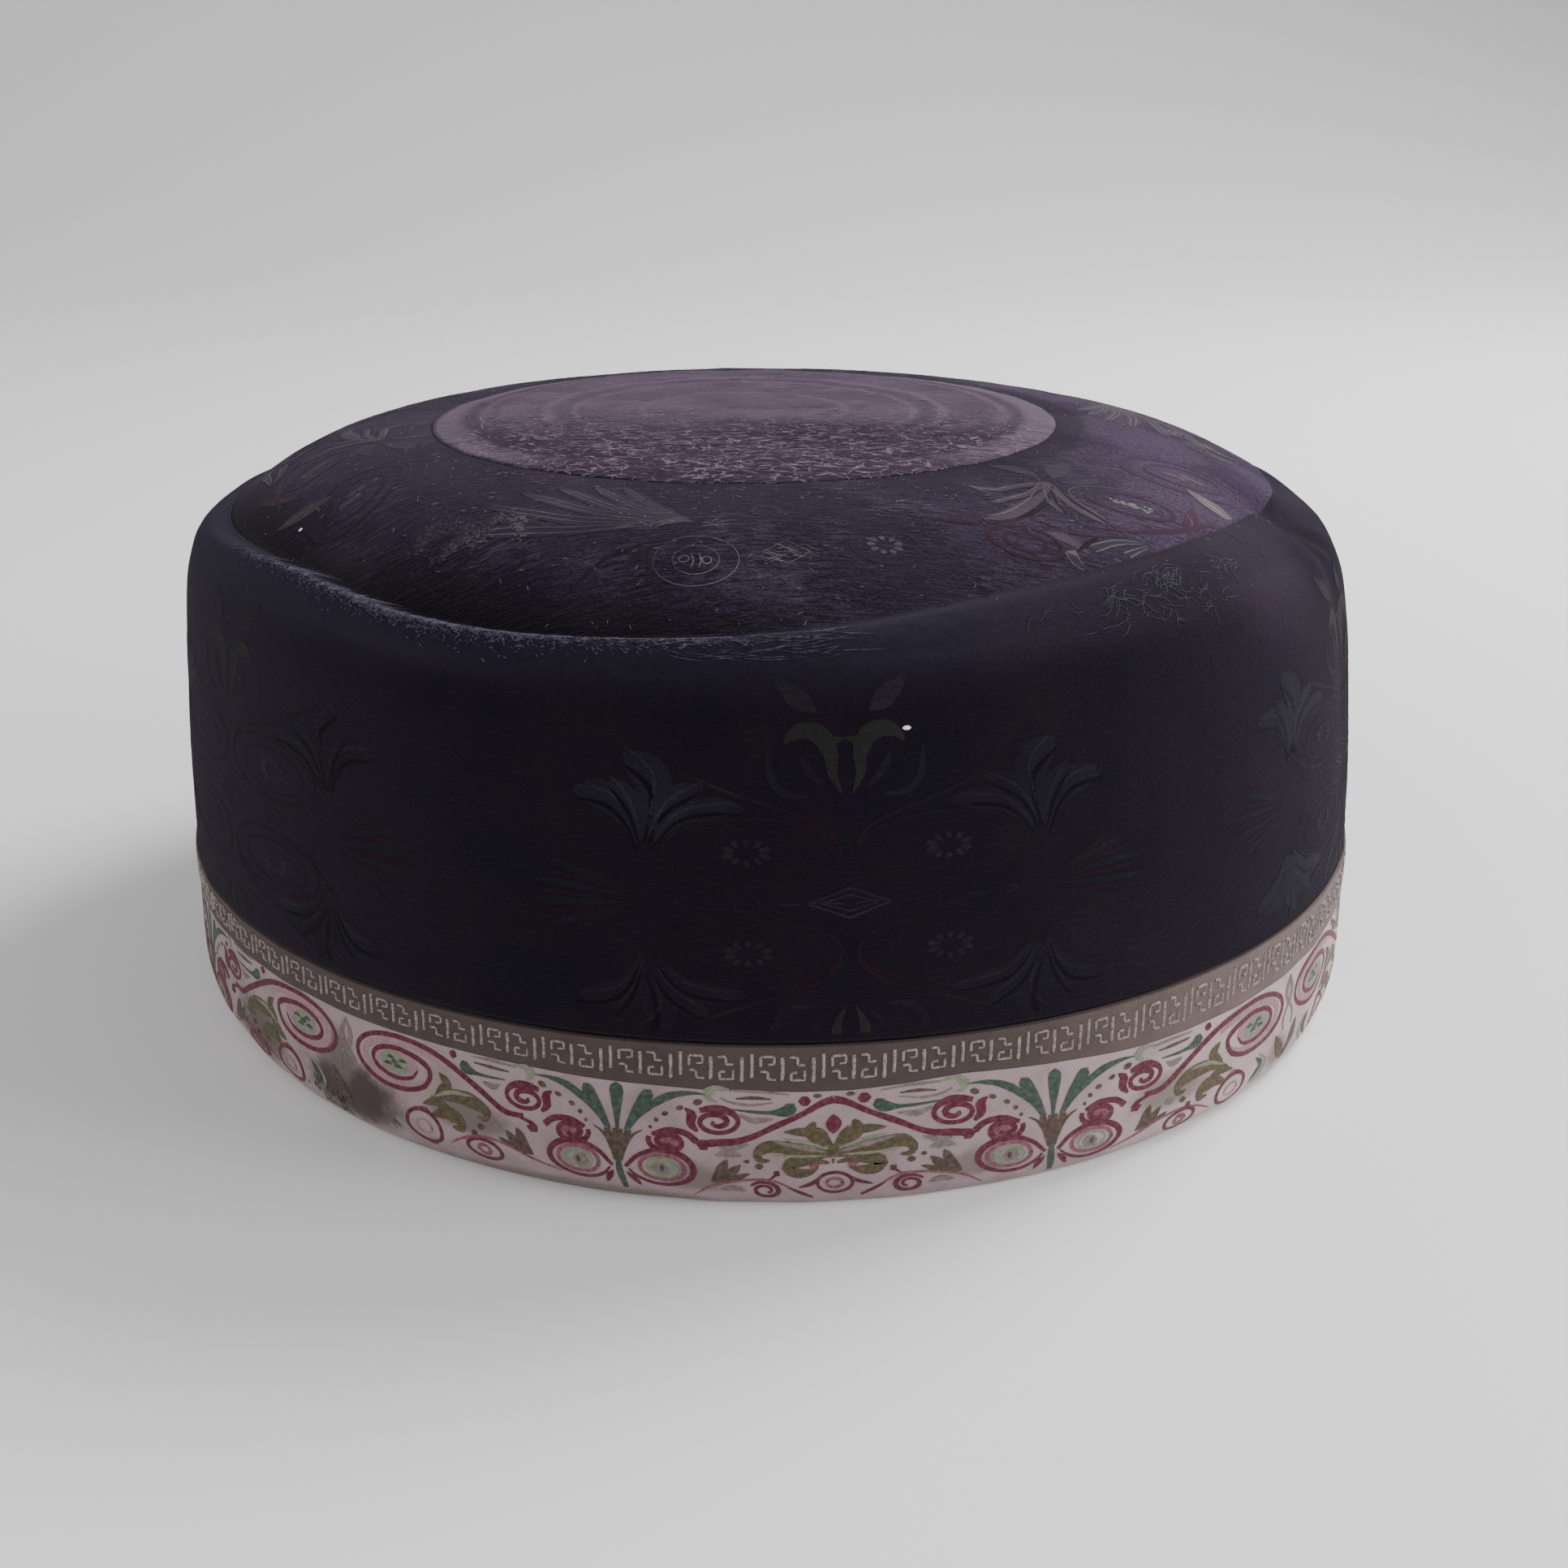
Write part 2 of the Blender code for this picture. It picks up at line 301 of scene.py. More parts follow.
def trim_lump(azimuth):
    """The trim stands off the wall a little unevenly."""
    turn = np.radians(azimuth)
    return 0.00007 * np.sin(turn * 31.0 + 3.0 * np.sin(turn * 7.0))


def on_trim(azimuth, way):
    """Places on the outside of the trim, a way down from its top."""
    radius = np.interp(way, TRIM_WAY, TRIM[:, 0]) + trim_lump(azimuth)
    return stood(radius, azimuth, np.interp(way, TRIM_WAY, TRIM[:, 1]))


def lifted(surface, azimuth, way, lift, side=1.0):
    """Places a little out of a surface, square to it."""
    step_azimuth, step_way = 0.05, 0.00008
    across = surface(azimuth + step_azimuth, way) - surface(azimuth - step_azimuth, way)
    along = surface(azimuth, way + step_way) - surface(azimuth, way - step_way)
    out = np.cross(across, along) * side
    out /= np.maximum(np.linalg.norm(out, axis=-1, keepdims=True), 1e-12)
    return surface(azimuth, way) + out * np.asarray(lift)[..., None]


# Mesh building


def turned(place_rows, closed, steps=AROUND):
    """A sheet wrapped once round the axis, whose rows stand at the places given for the azimuths. Also
    the row and the column of each vertex."""
    places = place_rows(np.arange(steps + 1) * 360.0 / steps)
    count = len(places)
    spans = count if closed else count - 1
    shape = bmesh.new()
    bmesh.ops.create_grid(shape, x_segments=steps, y_segments=spans, size=0.5)
    flat = np.array([v.co for v in shape.verts])
    turn = np.rint((flat[:, 0] + 0.5) * steps).astype(int)
    row = np.rint((flat[:, 1] + 0.5) * spans).astype(int)
    for vertex, i, j in zip(shape.verts, row % count, turn):
        vertex.co = places[i, j]
    shape.verts.index_update()
    return shape, row, turn


def finished(shape, name, materials, merge=1e-6, sharp=None):
    """Close the mesh up, turn its faces outwards and link it as an object."""
    bmesh.ops.remove_doubles(shape, verts=shape.verts, dist=merge)
    bmesh.ops.recalc_face_normals(shape, faces=shape.faces)
    mesh = bpy.data.meshes.new(name)
    shape.to_mesh(mesh)
    shape.free()
    mesh.shade_smooth()
    if sharp:
        mesh.set_sharp_from_angle(angle=math.radians(sharp))
    thing = bpy.data.objects.new(name, mesh)
    bpy.context.scene.collection.objects.link(thing)
    for material in materials:
        mesh.materials.append(material)
    return thing


def lay_map(shape, u_of, v_of):
    """Give every face corner its place on the flat cloth, in millimetres, as a UV map."""
    layer = shape.loops.layers.uv.new("cloth")
    for face in shape.faces:
        for corner in face.loops:
            index = corner.vert.index
            corner[layer].uv = (u_of[index], v_of[index])


# Height in a flat chart that marks a vertex of a raised thread, above which its ridge is counted
RIDGE_MARK = 10.0

# Length of a stroke's sections in millimetres, and how many it may have
STROKE_STEP = 0.50
MOST_SECTIONS = 56

# Lift off the cloth in millimetres: of any stroke, of each layer, and between strokes that cross
FIRST_LIFT = 0.008
LAYER_LIFT = 0.012
STROKE_LIFT = 0.00025
STROKE_LIFTS = 40

# How much broader than charted each dye has run in the cloth
BROADER = {"crimson": 1.45, "olive": 1.4, "mauve": 1.25, "teal": 1.15, "brown": 1.3, "smoke": 1.3,
           "mint": 1.1}

# Width in millimetres that every pointed stroke keeps at its ends
TIP = 0.02


class Chart:
    """A flat drawing in millimetres, made of strokes, which is laid on the cloth when it is done."""

    def __init__(self, dyes, seed):
        self.shape = bmesh.new()
        self.layer = 1
        self.dyes = dyes
        self.draws = random.Random(seed)
        self.level = 0

    def stroke(self, dye, points, widths, closed=False, rough=0.05, across=1, straight=False, least=4):
        """A stroke along a smooth line through points, as wide as the widths say along it. More than one
        face across makes it a raised thread."""
        points = np.asarray(points, float)
        if closed or straight:
            line = points
        elif len(points) > 2:
            line = eased_line(points, 6)
        else:
            line = np.linspace(points[0], points[-1], 7)
        way = run_along(line)
        count = int(np.clip(round(way[-1] / STROKE_STEP), least, MOST_SECTIONS))
        t = np.linspace(0.0, 1.0, count + 1)
        line = np.stack([np.interp(t * way[-1], way, line[:, k]) for k in (0, 1)], -1)
        along = np.gradient(line, axis=0)
        if closed:
            along[0] = along[-1] = line[1] - line[-2]
        square = np.stack([-along[:, 1], along[:, 0]], -1) / (np.hypot(*along.T)[:, None] + 1e-9)
        widths = np.interp(t, np.linspace(0, 1, len(widths)), widths) * BROADER.get(dye, 1.0)
        made = bmesh.ops.create_grid(self.shape, x_segments=count, y_segments=across, size=0.5)["verts"]
        self.level = (self.level + 1) % STROKE_LIFTS
        flat_lift = FIRST_LIFT + self.layer * LAYER_LIFT + self.level * STROKE_LIFT
        wobble = [1.0 + rough * self.draws.uniform(-1, 1) for _ in t]
        for vertex in made:
            i = int(round((vertex.co.x + 0.5) * count))
            side = vertex.co.y
            half = widths[i] * side * (1.0 if closed and i in (0, count) else wobble[i])
            lift = RIDGE_MARK + 1.0 - 4.0 * side * side if across > 1 else flat_lift
            vertex.co = (*(line[i] + square[i] * half), lift)
        for face in {face for vertex in made for face in vertex.link_faces}:
            face.material_index = self.dyes.index(dye)

    def leaf(self, dye, points, width, peak=0.5):
        """Pointed at both ends, widest at the peak."""
        t = np.linspace(0, 1, 15)
        bent = np.where(t < peak, t / peak * 0.5, 0.5 + (t - peak) / (1 - peak) * 0.5)
        self.stroke(dye, points, width * np.sin(np.pi * bent) ** 0.8 + TIP)

    def club(self, dye, points, width):
        """Narrow at its foot, widest near its round tip."""
        t = np.linspace(0, 1, 21)
        body = 0.25 + 0.75 * smooth(t * 1.15)
        past_shoulder = np.clip((t - 0.8) / 0.2, 0, 1)
        self.stroke(dye, points, width * body * np.sqrt(np.clip(1 - past_shoulder**2.5, 0.0, 1)) + TIP)

    def dot(self, dye, centre, across, high, turn=0.0):
        """An oval, turned by so many degrees."""
        t = np.linspace(-1, 1, 13)
        turn = math.radians(turn)
        along = np.array([math.cos(turn), math.sin(turn)])
        ends = [np.array(centre) + side * 0.5 * across * along for side in (-1, 1)]
        self.stroke(dye, ends, high * np.sqrt(1 - t**2) + TIP)

    def comma(self, dye, points, head):
        """A round head that runs out in a tail."""
        t = np.linspace(0, 1, 25)
        front = np.sqrt(np.clip(1 - (1 - t / 0.1) ** 2, 0, 1))
        body = np.where(t < 0.1, front, 1 - smooth((t - 0.1) / 0.35) * 0.72)
        self.stroke(dye, points, head * body * (1 - 0.8 * t**3) + TIP)

    def coil(self, dye, centre, across, high, turns, start, widths, inner):
        """A spiral line that winds out of its middle and ends at the start angle."""
        t = np.linspace(0, 1, int(22 * turns) + 6)
        reach = inner + (1 - inner) * t**0.85
        angle = math.radians(start) - 2 * np.pi * turns * (1 - t)
        points = np.stack([centre[0] + 0.5 * across * reach * np.cos(angle),
                           centre[1] + 0.5 * high * reach * np.sin(angle)], -1)
        self.stroke(dye, points[::2] if len(points) > 40 else points, widths)

    def ring(self, dye, centre, across, high, width):
        angle = np.linspace(0, 2 * np.pi, 49)
        points = np.stack([centre[0] + 0.5 * across * np.cos(angle),
                           centre[1] + 0.5 * high * np.sin(angle)], -1)
        self.stroke(dye, points, (width, width), closed=True, rough=0.0)

    def mirrored(self, draw):
        """Draw something, and once more the other way round."""
        draw(self, lambda x, v: (x, v))
        draw(self, lambda x, v: (-x, v))


def line_by(m, at=0.0):
    """A function that puts each place of a line by way of m, counted from at."""
    return lambda *points: [m(at + x, v) for x, v in points]


def half_step(length, turn):
    """From the middle of a short fibre to its end."""
    return 0.5 * length * math.cos(turn), 0.5 * length * math.sin(turn)


def lay_fibre(chart, dye, at, step, middle, widths, **how):
    """A short fibre on both sides of a place, by way of a middle that may lie a little off it."""
    x, y = at
    chart.stroke(dye, [(x - step[0], y - step[1]), *middle, (x + step[0], y + step[1])], widths, **how)


# Materials

# How a surface takes light
Finish = namedtuple("Finish", "roughness sheen sheen_roughness sheen_tint specular")

WALL_PILE = Finish(0.95, 0.08, 0.45, (0.62, 0.55, 0.72), 0.05)
CROWN_PILE = Finish(0.95, 0.09, 0.45, (0.62, 0.55, 0.72), 0.05)
FIGURE_PILE = Finish(0.95, 0.08, 0.45, (0.62, 0.58, 0.72), 0.05)
OPEN_PILE = Finish(0.95, 0.15, 0.40, (0.70, 0.66, 0.85), 0.05)
PLAIN_WEAVE = Finish(0.90, 0.10, 0.50, (0.90, 0.88, 0.90), 0.15)
DISC_WEAVE = Finish(0.95, 0.02, 0.50, (0.75, 0.68, 0.80), 0.03)
DISC_THREAD = Finish(0.90, 0.10, 0.50, (0.80, 0.75, 0.85), 0.10)
KEY_THREAD = Finish(0.75, 0.20, 0.40, (1.0, 0.95, 0.92), 0.25)
LOOSE_FIBRE = Finish(0.80, 0.30, 0.40, (1.0, 1.0, 1.0), 0.20)
FRAYED_THREAD = Finish(0.85, 0.10, 0.50, (1.0, 0.95, 0.90), 0.15)
PAPER = Finish(0.90, 0.0, 0.50, (1.0, 1.0, 1.0), 0.10)

# Tints of the pile, and its colour where light and shade change it
WALL_TINT = (0.0050, 0.0042, 0.0105)
WALL_LEFT_LIGHT = (0.0150, 0.0105, 0.0180)
LIP_HIGHLIGHT_LEFT = (0.021, 0.019, 0.032)
LIP_HIGHLIGHT_RIGHT = (0.0225, 0.0158, 0.0285)
LIP_SHEEN_COLOUR = (0.046, 0.031, 0.053)
CROWN_TINT = (0.019, 0.012, 0.029)
CREASE_SHADE = (0.0030, 0.0022, 0.0032)
DISC_SHADE = (0.0110, 0.0075, 0.0140)


class Net:
    """Short calls for wiring shader nodes."""

    def __init__(self, tree):
        self.tree = tree

    def node(self, kind, values=(), **sets):
        """A node with its settings, and values or links for its inputs."""
        node = self.tree.nodes.new(kind)
        for key, value in sets.items():
            setattr(node, key, value)
        for key, value in dict(values).items():
            self.put(node.inputs[key], value)
        return node

    def put(self, socket, value):
        if isinstance(value, bpy.types.NodeSocket):
            self.tree.links.new(value, socket)
        elif value is not None:
            if socket.type == "RGBA" and len(value) == 3:
                value = (*value, 1.0)
            socket.default_value = value

    def math(self, operation, *values, clamp=False):
        node = self.node("ShaderNodeMath", operation=operation, use_clamp=clamp)
        for socket, value in zip(node.inputs, values):
            self.put(socket, value)
        return node.outputs[0]

    def times(self, a, b):
        return self.math("MULTIPLY", a, b)

    def plus(self, a, b):
        return self.math("ADD", a, b)

    def scaled(self, value, by, start):
        """The value times one number, added to another."""
        return self.math("MULTIPLY_ADD", value, by, start)

    def off_middle(self, value):
        """How far a noise is from its middle."""
        return self.math("SUBTRACT", value, 0.5)

    def mix(self, share, a, b, blend="MIX"):
        values = {"Factor": share, "A": a, "B": b}
        node = self.node("ShaderNodeMix", values, data_type="RGBA", blend_type=blend)
        return node.outputs["Result"]

    def noise(self, vector, scale, detail=3.0, rough=0.55, distortion=0.0):
        values = {"Vector": vector, "Scale": scale, "Detail": detail, "Roughness": rough,
                  "Distortion": distortion}
        return self.node("ShaderNodeTexNoise", values).outputs["Fac"]

    def cell_edges(self, vector, scale):
        """Distance to the nearest edge between irregular cells."""
        values = {"Vector": vector, "Scale": scale}
        node = self.node("ShaderNodeTexVoronoi", values, feature="DISTANCE_TO_EDGE")
        return node.outputs["Distance"]

    def stretch(self, vector, scale=(1.0, 1.0, 1.0), shift=(0.0, 0.0, 0.0)):
        values = {"Vector": vector, "Scale": scale, "Location": shift}
        return self.node("ShaderNodeMapping", values).outputs["Vector"]

    def ramp(self, value, low, high, to_low=0.0, to_high=1.0):
        values = {"Value": value, "From Min": low, "From Max": high, "To Min": to_low, "To Max": to_high}
        return self.node("ShaderNodeMapRange", values, interpolation_type="SMOOTHSTEP").outputs["Result"]

    def split(self, vector):
        """The X, Y and Z of a place."""
        return tuple(self.node("ShaderNodeSeparateXYZ", {"Vector": vector}).outputs)

    def length(self, vector):
        node = self.node("ShaderNodeVectorMath", operation="LENGTH")
        self.put(node.inputs[0], vector)
        return node.outputs["Value"]

    def bump(self, height, strength, distance):
        values = {"Height": height, "Strength": strength, "Distance": distance}
        return self.node("ShaderNodeBump", values).outputs["Normal"]


def new_group(name, inputs, outputs):
    """An empty shader group with named sockets, and its net, inputs and outputs."""
    tree = bpy.data.node_groups.new(name, "ShaderNodeTree")
    for key, kind, default in inputs:
        socket = tree.interface.new_socket(key, in_out="INPUT", socket_type=kind)
        if default is not None:
            socket.default_value = default
    for key, kind in outputs:
        tree.interface.new_socket(key, in_out="OUTPUT", socket_type=kind)
    net = Net(tree)
    return net, net.node("NodeGroupInput").outputs, net.node("NodeGroupOutput").inputs


def pile_group():
    """Velvet: colour patches, brushed streaks and short fibres, and the bump that they give."""
    group = bpy.data.node_groups.get("Velvet pile")
    if group:
        return group
    net, given, out = new_group(
        "Velvet pile",
        (("Place", "NodeSocketVector", None), ("Deep", "NodeSocketColor", None),
         ("Worn", "NodeSocketColor", None), ("Tint", "NodeSocketColor", None),
         ("Patchiness", "NodeSocketFloat", 0.5), ("Depth", "NodeSocketFloat", 0.3),
         ("Sheen and lie", "NodeSocketFloat", 0.0), ("Grain", "NodeSocketFloat", 0.28)),
        (("Color", "NodeSocketColor"), ("Normal", "NodeSocketVector")),
    )
    place = given["Place"]
    patches = net.noise(place, 0.045, 2.0)
    tints = net.noise(net.stretch(place, shift=(70, 30, 0)), 0.06, 2.0)
    streaks = net.noise(net.stretch(place, (0.35, 1.8, 1.0)), 0.9, 4.0, 0.7, 0.4)
    tufts = net.noise(net.stretch(place, (0.6, 1.3, 1.0)), 2.6, 4.0, 0.75)
    worn = net.times(net.ramp(patches, 0.42, 0.68), given["Patchiness"])
    worn = net.plus(worn, net.times(net.off_middle(streaks), 2.6))
    # The share of sheen and lie paints the pile paler: painted sheen, partly the pile's lie.
    worn = net.math("ADD", worn, given["Sheen and lie"], clamp=True)
    colour = net.mix(worn, given["Deep"], given["Worn"])
    colour = net.mix(net.times(net.ramp(tints, 0.45, 0.62), 0.55), colour, given["Tint"])
    shade = net.scaled(net.ramp(tufts, 0.25, 0.75, -1.0, 1.0), given["Grain"], 1.0)
    net.put(out["Color"], net.mix(1.0, colour, shade, "MULTIPLY"))
    height = net.plus(net.times(streaks, 0.7), net.times(tufts, 0.5))
    net.put(out["Normal"], net.bump(height, given["Depth"], 0.0006))
    return net.tree


def weave_group():
    """Plain weave in a flat place given in millimetres: a thread mask, a soft blotch and the bump."""
    group = bpy.data.node_groups.get("Plain weave")
    if group:
        return group
    net, given, out = new_group(
        "Plain weave",
        (("Place", "NodeSocketVector", None), ("Threads per mm", "NodeSocketFloat", 1.8),
         ("Depth", "NodeSocketFloat", 0.3)),
        (("Threads", "NodeSocketFloat"), ("Blotch", "NodeSocketFloat"), ("Normal", "NodeSocketVector")),
    )
    x, y, _ = net.split(given["Place"])
    count = net.times(given["Threads per mm"], math.pi)
    warp = net.math("SINE", net.times(x, count))
    weft = net.math("SINE", net.times(y, count))
    threads = net.scaled(net.times(warp, weft), 0.5, 0.5)
    slubs = net.noise(given["Place"], 1.1, 4.0, 0.65)
    net.put(out["Threads"], threads)
    net.put(out["Blotch"], net.noise(given["Place"], 0.16, 3.0))
    net.put(out["Normal"], net.bump(net.plus(net.times(threads, 0.45), slubs), given["Depth"], 0.0003))
    return net.tree


def new_material(name, finish):
    material = bpy.data.materials.new(name)
    material.use_nodes = True
    shader = material.node_tree.nodes["Principled BSDF"]
    shader.inputs["Roughness"].default_value = finish.roughness
    shader.inputs["Sheen Weight"].default_value = finish.sheen
    shader.inputs["Sheen Roughness"].default_value = finish.sheen_roughness
    shader.inputs["Sheen Tint"].default_value = (*finish.sheen_tint, 1.0)
    shader.inputs["Specular IOR Level"].default_value = finish.specular
    return material, Net(material.node_tree), shader


def paint(net, shader, colour, normal=None):
    net.put(shader.inputs["Base Color"], colour)
    net.put(shader.inputs["Normal"], normal)


def toned(colour, share):
    """The same colour, so many times lighter or darker."""
    return [channel * share for channel in colour]


def cloth_place(net):
    """The place on the flat cloth, in millimetres."""
    return net.node("ShaderNodeUVMap", uv_map="cloth").outputs["UV"]


def object_place(net):
    """The place in the cap's own frame, in metres."""
    return net.node("ShaderNodeTexCoord").outputs["Object"]


def plain_material(name, finish, colour):
    material, net, shader = new_material(name, finish)
    paint(net, shader, colour)
    return material


def mottled_material(name, finish, first, second, scale, rough=0.7, low=0.3, high=0.7):
    """Thread or pile of two tones that run into each other."""
    material, net, shader = new_material(name, finish)
    uneven = net.noise(cloth_place(net), scale, 3.0, rough)
    paint(net, shader, net.mix(net.ramp(uneven, low, high), first, second))
    return material


def sheen_and_lie_share(net):
    """From 0 at the crown's left and front to 1 on its right: painted sheen there, partly the pile's lie."""
    place = object_place(net)
    x, y, _ = net.split(place)
    across = net.plus(x, net.times(net.off_middle(net.noise(place, 34.0, 3.0)), 0.035))
    across = net.plus(across, net.times(y, 0.18))
    radius = net.length(net.stretch(place, (1.0, 1.0, 0.0)))
    at_edge = net.times(net.ramp(radius, 0.066, 0.080), net.ramp(y, -0.034, -0.052))
    return net.times(net.ramp(across, 0.016, 0.056), net.scaled(at_edge, -0.72, 1.0))


def wall_shading(net, pile):
    """Painted light on the wall's pile: paler at the far left, a highlight on the lip's crest, sheen at its
    right.
    """
    place = object_place(net)
    x, _, z = net.split(place)
    right = net.ramp(x, 0.005, 0.060)
    height = net.math("SUBTRACT", z, net.times(right, 0.0035))
    # Painted highlight along the lip's crest, where light grazes the pile, broken up by noise.
    highlight_breakup = net.ramp(net.noise(place, 900.0, 3.0, 0.7), 0.25, 0.7, 0.55, 1.0)
    lip_highlight = net.times(net.ramp(height, 0.0655, 0.0765), highlight_breakup)
    # Painted light: the far left of the wall is made paler.
    pile = net.mix(net.ramp(x, -0.030, -0.080, 0.0, 0.75), pile, WALL_LEFT_LIGHT)
    pile = net.mix(lip_highlight, pile, net.mix(right, LIP_HIGHLIGHT_LEFT, LIP_HIGHLIGHT_RIGHT))
    # Painted sheen on the lip at the right, where light grazes it.
    from_lip_sheen = net.length(net.stretch(place, (90.0, 80.0, 0.0), (-5.8, 3.9, 0.0)))
    lip_sheen_share = net.times(net.ramp(from_lip_sheen, 0.35, 1.35, 0.42, 0.0), net.ramp(z, 0.060, 0.072))
    return net.mix(lip_sheen_share, pile, LIP_SHEEN_COLOUR)


def crown_shading(net, pile):
    """The crown's pile with painted sheen far left, painted shadow beside the disc, painted shade in the
    crease.
    """
    place = cloth_place(net)
    x, y, _ = net.split(place)
    # Painted sheen at the far left of the crown, in its worn pile's colour.
    far_left = net.times(net.ramp(x, -34.0, -72.0), net.ramp(y, -44.0, -12.0))
    pile = net.mix(net.times(far_left, 0.30), pile, looks().crown_worn_and_sheen)
    # Painted shadow on the crown beside the disc's right rim.
    from_disc = net.length(net.stretch(place, (1.0, 1.0, 0.0), (DISC_MAP_SHIFT, 0.0, 0.0)))
    beside = net.times(net.ramp(from_disc, 55.5, 52.0), net.ramp(x, 14.0, 32.0))
    pile = net.mix(net.times(beside, 0.62), pile, DISC_SHADE)
    # Painted shade deep in the crease along the lip at the front left.
    front_left = net.times(net.ramp(x, 34.0, -20.0), net.ramp(y, 10.0, -30.0))
    crease = net.times(net.ramp(net.length(place), 71.0, 83.0), front_left)
    return net.mix(crease, pile, CREASE_SHADE)


def velvet_material(name, finish, deep, worn, tint, patchiness, depth, shading, brushed=0.0):
    """Velvet. Shading is a function that paints light and shade on parts of the piece. The argument brushed
    says how much paler the cap's right is painted: sheen where light grazes the pile, partly its lie."""
    material, net, shader = new_material(name, finish)
    values = {"Place": cloth_place(net), "Deep": deep, "Worn": worn, "Tint": tint,
              "Patchiness": patchiness, "Depth": depth}
    pile = net.node("ShaderNodeGroup", values, node_tree=pile_group())
    if brushed:
        net.put(pile.inputs["Sheen and lie"], net.times(sheen_and_lie_share(net), brushed))
        pile.inputs["Grain"].default_value = 0.8
    paint(net, shader, shading(net, pile.outputs["Color"]), pile.outputs["Normal"])
    return material


def woven_material(name, colour, shadow, threads, depth, stains=(), painted_light=1.0):
    """Plain woven cloth. A stain is a colour, a centre and a reach on the flat cloth. Painted light is how
    many times paler the cloth is painted at the front right, where light from the right falls."""
    material, net, shader = new_material(name, PLAIN_WEAVE)
    place = cloth_place(net)
    values = {"Place": place, "Threads per mm": threads, "Depth": depth}
    weave = net.node("ShaderNodeGroup", values, node_tree=weave_group())
    between = net.times(net.math("SUBTRACT", 1.0, weave.outputs["Threads"]), 0.16)
    blotch = net.ramp(weave.outputs["Blotch"], 0.4, 0.7, 0.0, 0.55)
    base = net.mix(net.math("ADD", blotch, between, clamp=True), colour, shadow)
    x = net.split(place)[0]
    # Painted light: the cloth is made paler at the front right.
    pale = net.times(net.ramp(x, 22.0, 75.0), net.ramp(x, 220.0, 130.0))
    base = net.mix(pale, base, (painted_light, painted_light, painted_light), "MULTIPLY")
    for tone, (u, v), (long, high) in stains:
        from_stain = net.length(net.stretch(place, (1 / long, 1 / high, 1), (-u / long, -v / high, 0)))
        ragged = net.plus(from_stain, net.times(net.noise(place, 0.5, 3.0), 0.5))
        base = net.mix(net.ramp(ragged, 0.80, 1.45, 0.92, 0.0), base, tone)
    paint(net, shader, base, weave.outputs["Normal"])
    return material


def carried(thing, node=None):
    """Let a piece ride on the cap, and stand for a node of the frame."""
    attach(thing, "root")
    if node:
        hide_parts(node)
    return thing


# Velvet

# Millimetres of flat cloth that a row of the wall stands for, and where the disc's middle lies on the
# crown's flat cloth
WALL_ROW_MAP = 1.25
DISC_MAP_SHIFT = 4.4


def wall_rows(azimuths):
    """Places of the wall's rows at each azimuth: up the outside, over the lip's edge, down the inside."""
    radius = seam_at(azimuths)[0]
    seam_way = way_at_radius(radius)
    lip_start = seam_way - LIP_WIDTH
    foot = eased_line(np.array(WALL_FOOT) * MM, 3)
    ways = [lip_start * share for share in np.linspace(0.0, 1.0, 44)]
    ways += [seam_way - LIP_WIDTH * share for share in np.linspace(0.95, 0.0, 20)]
    outer = [stood(np.full(azimuths.shape, r), azimuths, np.full(azimuths.shape, z)) for r, z in foot]
    outer += [on_velvet(azimuths, way) for way in ways]
    inner_ways = [lip_start * share for share in np.linspace(0.0, 1.0, 16)]
    inner_ways += [seam_way - LIP_WIDTH * share for share in (0.75, 0.5, 0.25, 0.0)]
    inner = [lifted(on_velvet, azimuths, way, np.full(azimuths.shape, -WALL_THICKNESS)) for way in inner_ways]
    inner_foot = [stood(np.full(azimuths.shape, r - WALL_THICKNESS), azimuths, np.full(azimuths.shape, z))
                  for r, z in foot[2:]]
    edge = [0.5 * (outer[-1] + inner[-1]) + (outer[-1] - outer[-2]) * 0.8]
    return np.array(outer + edge + inner[::-1] + inner_foot[::-1])


def make_wall():
    shape, row, turn = turned(wall_rows, closed=True)
    lay_map(shape, turn * TURN / AROUND, row * WALL_ROW_MAP)
    velvet = velvet_material("wall_velvet", WALL_PILE, looks().velvet_deep, looks().velvet_worn, WALL_TINT,
                             0.6, 0.7, wall_shading)
    return carried(finished(shape, "velvet_wall", [velvet]), "wall")


def crown_rows(azimuths):
    """Places of the crown's rows: from the middle out to the seam, under the lip, and back inside."""
    seam_way = way_at_radius(seam_at(azimuths)[0])
    half = WAY[-1] - seam_way
    shares = np.concatenate([np.linspace(1.0, 0.30, 26), np.linspace(0.28, 0.02, 34), [0.008, 0.0]])
    top = [on_velvet(azimuths, seam_way + half * share - (1e-5 if share == 1.0 else 0)) for share in shares]
    lap = [lifted(on_velvet, azimuths, seam_way - LAP_WIDTH * share,
                  np.full(azimuths.shape, -WALL_THICKNESS - CLOTH_GAP)) for share in (0.15, 0.5, 1.0)]
    under_shares = np.concatenate([[0.0], np.linspace(0.04, 0.28, 8), np.linspace(0.32, 1.0, 8)])
    under = [lifted(on_velvet, azimuths, seam_way + half * min(share, 0.999),
                    np.full(azimuths.shape, -CROWN_THICKNESS)) for share in under_shares]
    deepest = np.full(azimuths.shape, -WALL_THICKNESS - CLOTH_GAP - CROWN_THICKNESS)
    lap_under = [lifted(on_velvet, azimuths, seam_way - LAP_WIDTH * share, deepest) for share in (1.0, 0.5)]
    rows = np.array(top + lap + lap_under + under)
    for pole in (0, len(rows) - 1):
        rows[pole] = rows[pole].mean(axis=0)
    return rows


